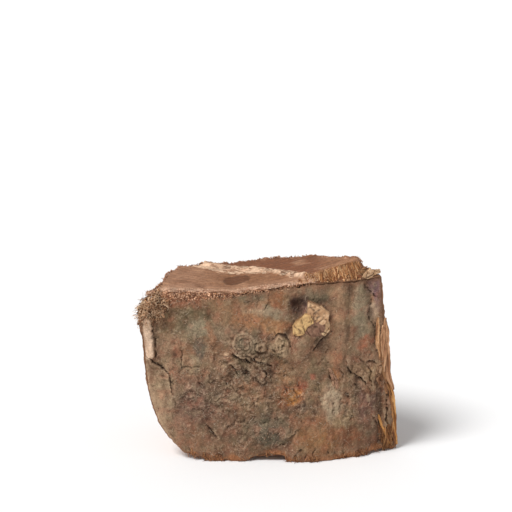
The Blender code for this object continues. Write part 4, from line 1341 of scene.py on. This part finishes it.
def bark_litter(draw):
    """Scales, grit and threads that cling to the bark, most of them where it is crusty."""
    count = 9000
    x, z = draw.uniform(-41, 41, count), draw.uniform(2, 60, count)
    inside = (x > left_edge(z, 0.0) + 1.2) & (x < right_edge(z, 0.0) - 1.0)
    inside &= draw.uniform(0.0, 1.0, count) < 0.12 + 0.4 * humps(x, z, CRUSTS)
    x, z = x[inside], z[inside]
    centres = np.column_stack([x, front_of(x, z) - 0.25, z])
    light = draw.uniform(size=len(x)) < 0.55
    yield "bark_scales", centres[light], None
    yield "bark_grit", centres[~light], None
    roots = centres[::3] - (0.0, 0.2, 0.0)
    yield "bark_threads", roots, draw.normal((0.0, -0.1, 0.0), (0.8, 0.12, 0.8), roots.shape)


def below_rim(draw):
    """Torn reddish crumbs that hang on the bark below the front rim, most of them at the left."""
    x = np.concatenate([draw.triangular(-41, -36, -8, 1150), draw.uniform(-20, 14, 350)])
    hang = draw.triangular(-0.2, 0.5, 3.6, len(x)) * mix(1.0, 0.45, ease(-30.0, -6.0, x))
    z = upper_end(x, bark_side(x, 60.0)) - hang
    yield "rim_crumbs", np.column_stack([x, front_of(x, z) - 0.15, z]), None


def bast_band(draw):
    """Orange bast on the sloping band behind the bark at the upper right."""
    count = 460
    x = draw.triangular(10.5, 28.0, 31.5, count)
    y = bark_side(x, NOMINAL_HEIGHT) + draw.uniform(2.3, 5.7, count)
    roots = np.column_stack([x, y, upper_end(x, y) + 0.05])
    yield "band_fibres", roots, aimed(draw, count, (0.16, 0.12), (-0.76, 0.05), (-0.62, 0.07))
    count = 700
    x = draw.triangular(8.0, 14.0, 32.0, count)
    y = bark_side(x, NOMINAL_HEIGHT) + draw.uniform(-0.2, 4.2, count)
    yield "band_crumbs", np.column_stack([x, y, upper_end(x, y)]), None


def worn_corner(draw):
    """Crumbs and shaggy shreds of the worn upper left corner."""
    count = 2600
    z = draw.triangular(46.5, 56.0, 61.6, count)
    y = bark_side(LEFT, z) + draw.triangular(-0.8, 0.5, 5.5, count)
    x = left_of(y, z) + draw.triangular(-0.5, 0.3, 11.0, count)
    on_bark = x > left_of(y, z) + 0.8
    places = np.column_stack([x, np.where(on_bark, front_of(x, z) - 0.2, y), z])
    places = places[np.hypot((x + 43.5) / 10.0, (z - 55.5) / 7.5) + 0.25 * rough(x, 0.0, z, 2.5, 2) < 0.9]
    centres, roots = places[:700], places[700:1500]
    yield "corner_crumbs", centres, None
    yield "corner_shreds", roots, aimed(draw, len(roots), (0.0, 0.5), (-0.4, 0.3), (-0.6, 0.5))


def lower_edge(draw):
    """Fringe of the lower edge of the bark."""
    x = np.concatenate([draw.uniform(6, 42, 640), draw.uniform(-28, -16, 230), draw.uniform(-16, 5, 30)])
    z = lower_end(x, bark_side(x, 0.0)) + draw.triangular(0.2, 0.8, 3.0, len(x))
    x = np.maximum(x, left_edge(z, 0.0) + 0.4)
    roots = np.column_stack([x, front_of(x, z) - 0.05, z])[rough(x, 0.0, 7.0, 3.0, 2) > -0.1]
    yield "foot_fringe", roots, aimed(draw, len(roots), (0.1, 0.45), (-0.25, 0.12), (-0.8, 0.3))


def right_side(draw):
    """Long strips of inner bark that peel off the right edge, and the tuft that they end in at its foot."""
    count = 260
    z = draw.uniform(4, 46, count)
    y = bark_side(RIGHT_FOOT, z) + draw.uniform(0.2, 4.5, count)
    roots = np.column_stack([right_of(y, z) - 0.1, y, z])
    yield "peeled_bast", roots, aimed(draw, count, (0.03, 0.05), (-0.05, 0.08), (-1, 0))
    count = 90
    x = draw.uniform(40.0, 43.8, count)
    z = draw.triangular(2.0, 6.0, 11.0, count)
    roots = np.column_stack([x, front_of(x, z) - draw.uniform(0.0, 0.8, count), z])
    yield "foot_tuft", roots, aimed(draw, count, (0.1, 0.12), (-0.1, 0.08), (-1, 0))


def torn_step(draw):
    """Pale fibres along the torn step of the upper end."""
    count = 360
    x = draw.uniform(-22, 9, count)
    _, wide = past_step(x, 0.0 * x)
    y = np.interp(x, STEP_ACROSS, STEP_DEEP) + draw.uniform(-0.2, 1.2, count) * wide / STEP_SLANT
    roots = np.column_stack([x, y, upper_end(x, y) + 0.05])
    yield "step_fibres", roots, aimed(draw, count, (0.8, 0.07), (-0.6, 0.07), (0.0, 0.03))


def split_slivers(draw):
    """Slivers that the split left standing on the back."""
    count = 360
    z = draw.uniform(10, 54, count)
    x = draw.uniform(-36, 19, count)
    roots = np.column_stack([x, back_of(x, z) - 0.1, z])
    aside, away = draw.normal(0, 0.05, count), draw.uniform(0.02, 0.16, count)
    yield "back_slivers", roots, np.column_stack([aside, away, draw.choice([-1.0, 1.0], count)])


def rear_rims(draw):
    """Crumbs and short threads round the other rims of the upper end."""
    across = draw.uniform(-36, 20, 620)
    left_depth, right_depth = draw.uniform(6, 44, 360), draw.uniform(14, 34, 300)
    left_rim, right_rim = left_of(left_depth, 60.0), right_of(right_depth, 62.0)
    places = np.concatenate([
        np.column_stack([across, back_of(across, 60.0) - 0.4, upper_end(across, split_back(across, 60.0)) - 0.1]),
        np.column_stack([left_rim + 0.3, left_depth, upper_end(left_rim + 1.0, left_depth) - 0.2]),
        np.column_stack([right_rim - 0.4, right_depth, upper_end(right_rim - 1.0, right_depth) - 0.2]),
    ])
    places = draw.permutation(places) + draw.normal(0, 0.2, places.shape)
    x, y, _ = places.T
    places = places[(x > left_of(y, 60.0)) & (x < right_of(y, 62.0)) & (y < back_of(x, 60.0))]
    centres, roots = places[:900], places[900:]
    yield "rear_crumbs", centres, None
    yield "rear_threads", roots, draw.normal((0.0, 0.1, 0.0), (0.7, 0.7, 0.25), roots.shape)


def all_fibres(material):
    draw = np.random.default_rng(17)
    patterns = {"fine": fibre_pattern(3, 3), "stout": fibre_pattern(4, 4)}
    lump = crumb_pattern()
    for kinds in (saw_wool, bark_litter, below_rim, bast_band, worn_corner, lower_edge, right_side, torn_step,
                  split_slivers, rear_rims):
        for name, places, headings in kinds(draw):
            if name in CRUMBS:
                crumbs(name, lump, material, places)
            else:
                fibres(name, patterns, material, places, headings)


# The floor, in metres: radius of its flat middle, and the rings of its rim, each a ring wide and steeper
FLOOR_RADIUS = 2.0
FLOOR_RINGS = 14
FLOOR_RING = 0.25
FLOOR_RISE = 0.0056


def floor():
    """A plain pale table top that curves up far away, so that it has no edge."""
    alone()
    bpy.ops.mesh.primitive_circle_add(vertices=96, radius=FLOOR_RADIUS, fill_type="NGON")
    ground = started("floor")
    bpy.ops.object.mode_set(mode="EDIT")
    bpy.ops.mesh.select_all(action="SELECT")
    bpy.ops.mesh.region_to_loop()
    for ring in range(FLOOR_RINGS):
        radius = FLOOR_RADIUS + FLOOR_RING * ring
        wider = (radius + FLOOR_RING) / radius
        bpy.ops.mesh.extrude_edges_move(TRANSFORM_OT_translate={"value": (0, 0, FLOOR_RISE * (2 * ring + 1))})
        bpy.ops.transform.resize(value=(wider, wider, 1), center_override=(0, 0, 0))
    bpy.ops.mesh.select_all(action="SELECT")
    bpy.ops.mesh.normals_make_consistent(inside=False)
    bpy.ops.object.mode_set(mode="OBJECT")
    bpy.ops.object.shade_smooth()
    material, _, finish = new_material("white painted table", 0.9, 0.1)
    finish.inputs["Base Color"].default_value = (*linear("#F4F4F4"), 1)
    ground.data.materials.append(material)


# An even white sky, and a broad soft light from above, a little to the left and the front
SKY = 0.42
SOFTBOX = 2.8
SOFTBOX_WIDTH = 24.0
SOFTBOX_FROM = (-0.55, -0.5, 1.0)


def lights():
    scene = bpy.context.scene
    world = bpy.data.worlds.new("studio")
    scene.world = world
    world.use_nodes = True
    sky = world.node_tree.nodes["Background"]
    sky.inputs["Color"].default_value = (1, 1, 1, 1)
    sky.inputs["Strength"].default_value = SKY
    lamp = bpy.data.lights.new("softbox", "SUN")
    lamp.energy = SOFTBOX
    lamp.angle = math.radians(SOFTBOX_WIDTH)
    light = bpy.data.objects.new("softbox", lamp)
    scene.collection.objects.link(light)
    light.rotation_euler = (-Vector(SOFTBOX_FROM)).to_track_quat("-Z", "Y").to_euler()


# The camera's lens, how steeply it looks down, and its distance
LENS = 100.0
SENSOR = 36.0
LOOKS_DOWN = 13.0
FRAME_SIZE = 512
PIXELS_PER_METRE = 2900.0
# This point of the foot, in metres, shows at this pixel
FOOT_POINT = (0.0, -0.025, 0.0)
FOOT_PIXEL = (266.2, 467.0)


def camera():
    pitch = math.radians(LOOKS_DOWN)
    back = Vector((0, -math.cos(pitch), math.sin(pitch)))
    right = Vector((1, 0, 0))
    up = back.cross(right)
    focal = LENS / SENSOR * FRAME_SIZE
    far = focal / PIXELS_PER_METRE
    across = (FOOT_PIXEL[0] - FRAME_SIZE / 2) / focal * far
    above = (FRAME_SIZE / 2 - FOOT_PIXEL[1]) / focal * far
    place = Vector(FOOT_POINT) - right * across - up * above + back * far
    lens = bpy.data.cameras.new("camera")
    lens.lens = LENS
    lens.sensor_width = SENSOR
    shot = bpy.data.objects.new("camera", lens)
    bpy.context.scene.collection.objects.link(shot)
    shot.matrix_world = Matrix.Translation(place) @ Matrix((right, up, back)).transposed().to_4x4()
    bpy.context.scene.camera = shot


bark = weathered_bark()
end_grain = sawn_end()
long_grain = split_grain()
fibre = torn_fibre()

wood_body(end_grain, long_grain)
bark_skin(bark)
slabs("torn_branch", TORN_BRANCH, fibre, 3)
slabs("corner_flake", CORNER_FLAKE, fibre, 7)
slabs("bark_flaps", BARK_FLAPS, bark, 11)
for strip in PEELED_STRIPS:
    ribbon(fibre, *strip)
all_fibres(fibre)
floor()
lights()
camera()
bpy.context.scene.view_settings.view_transform = "Standard"
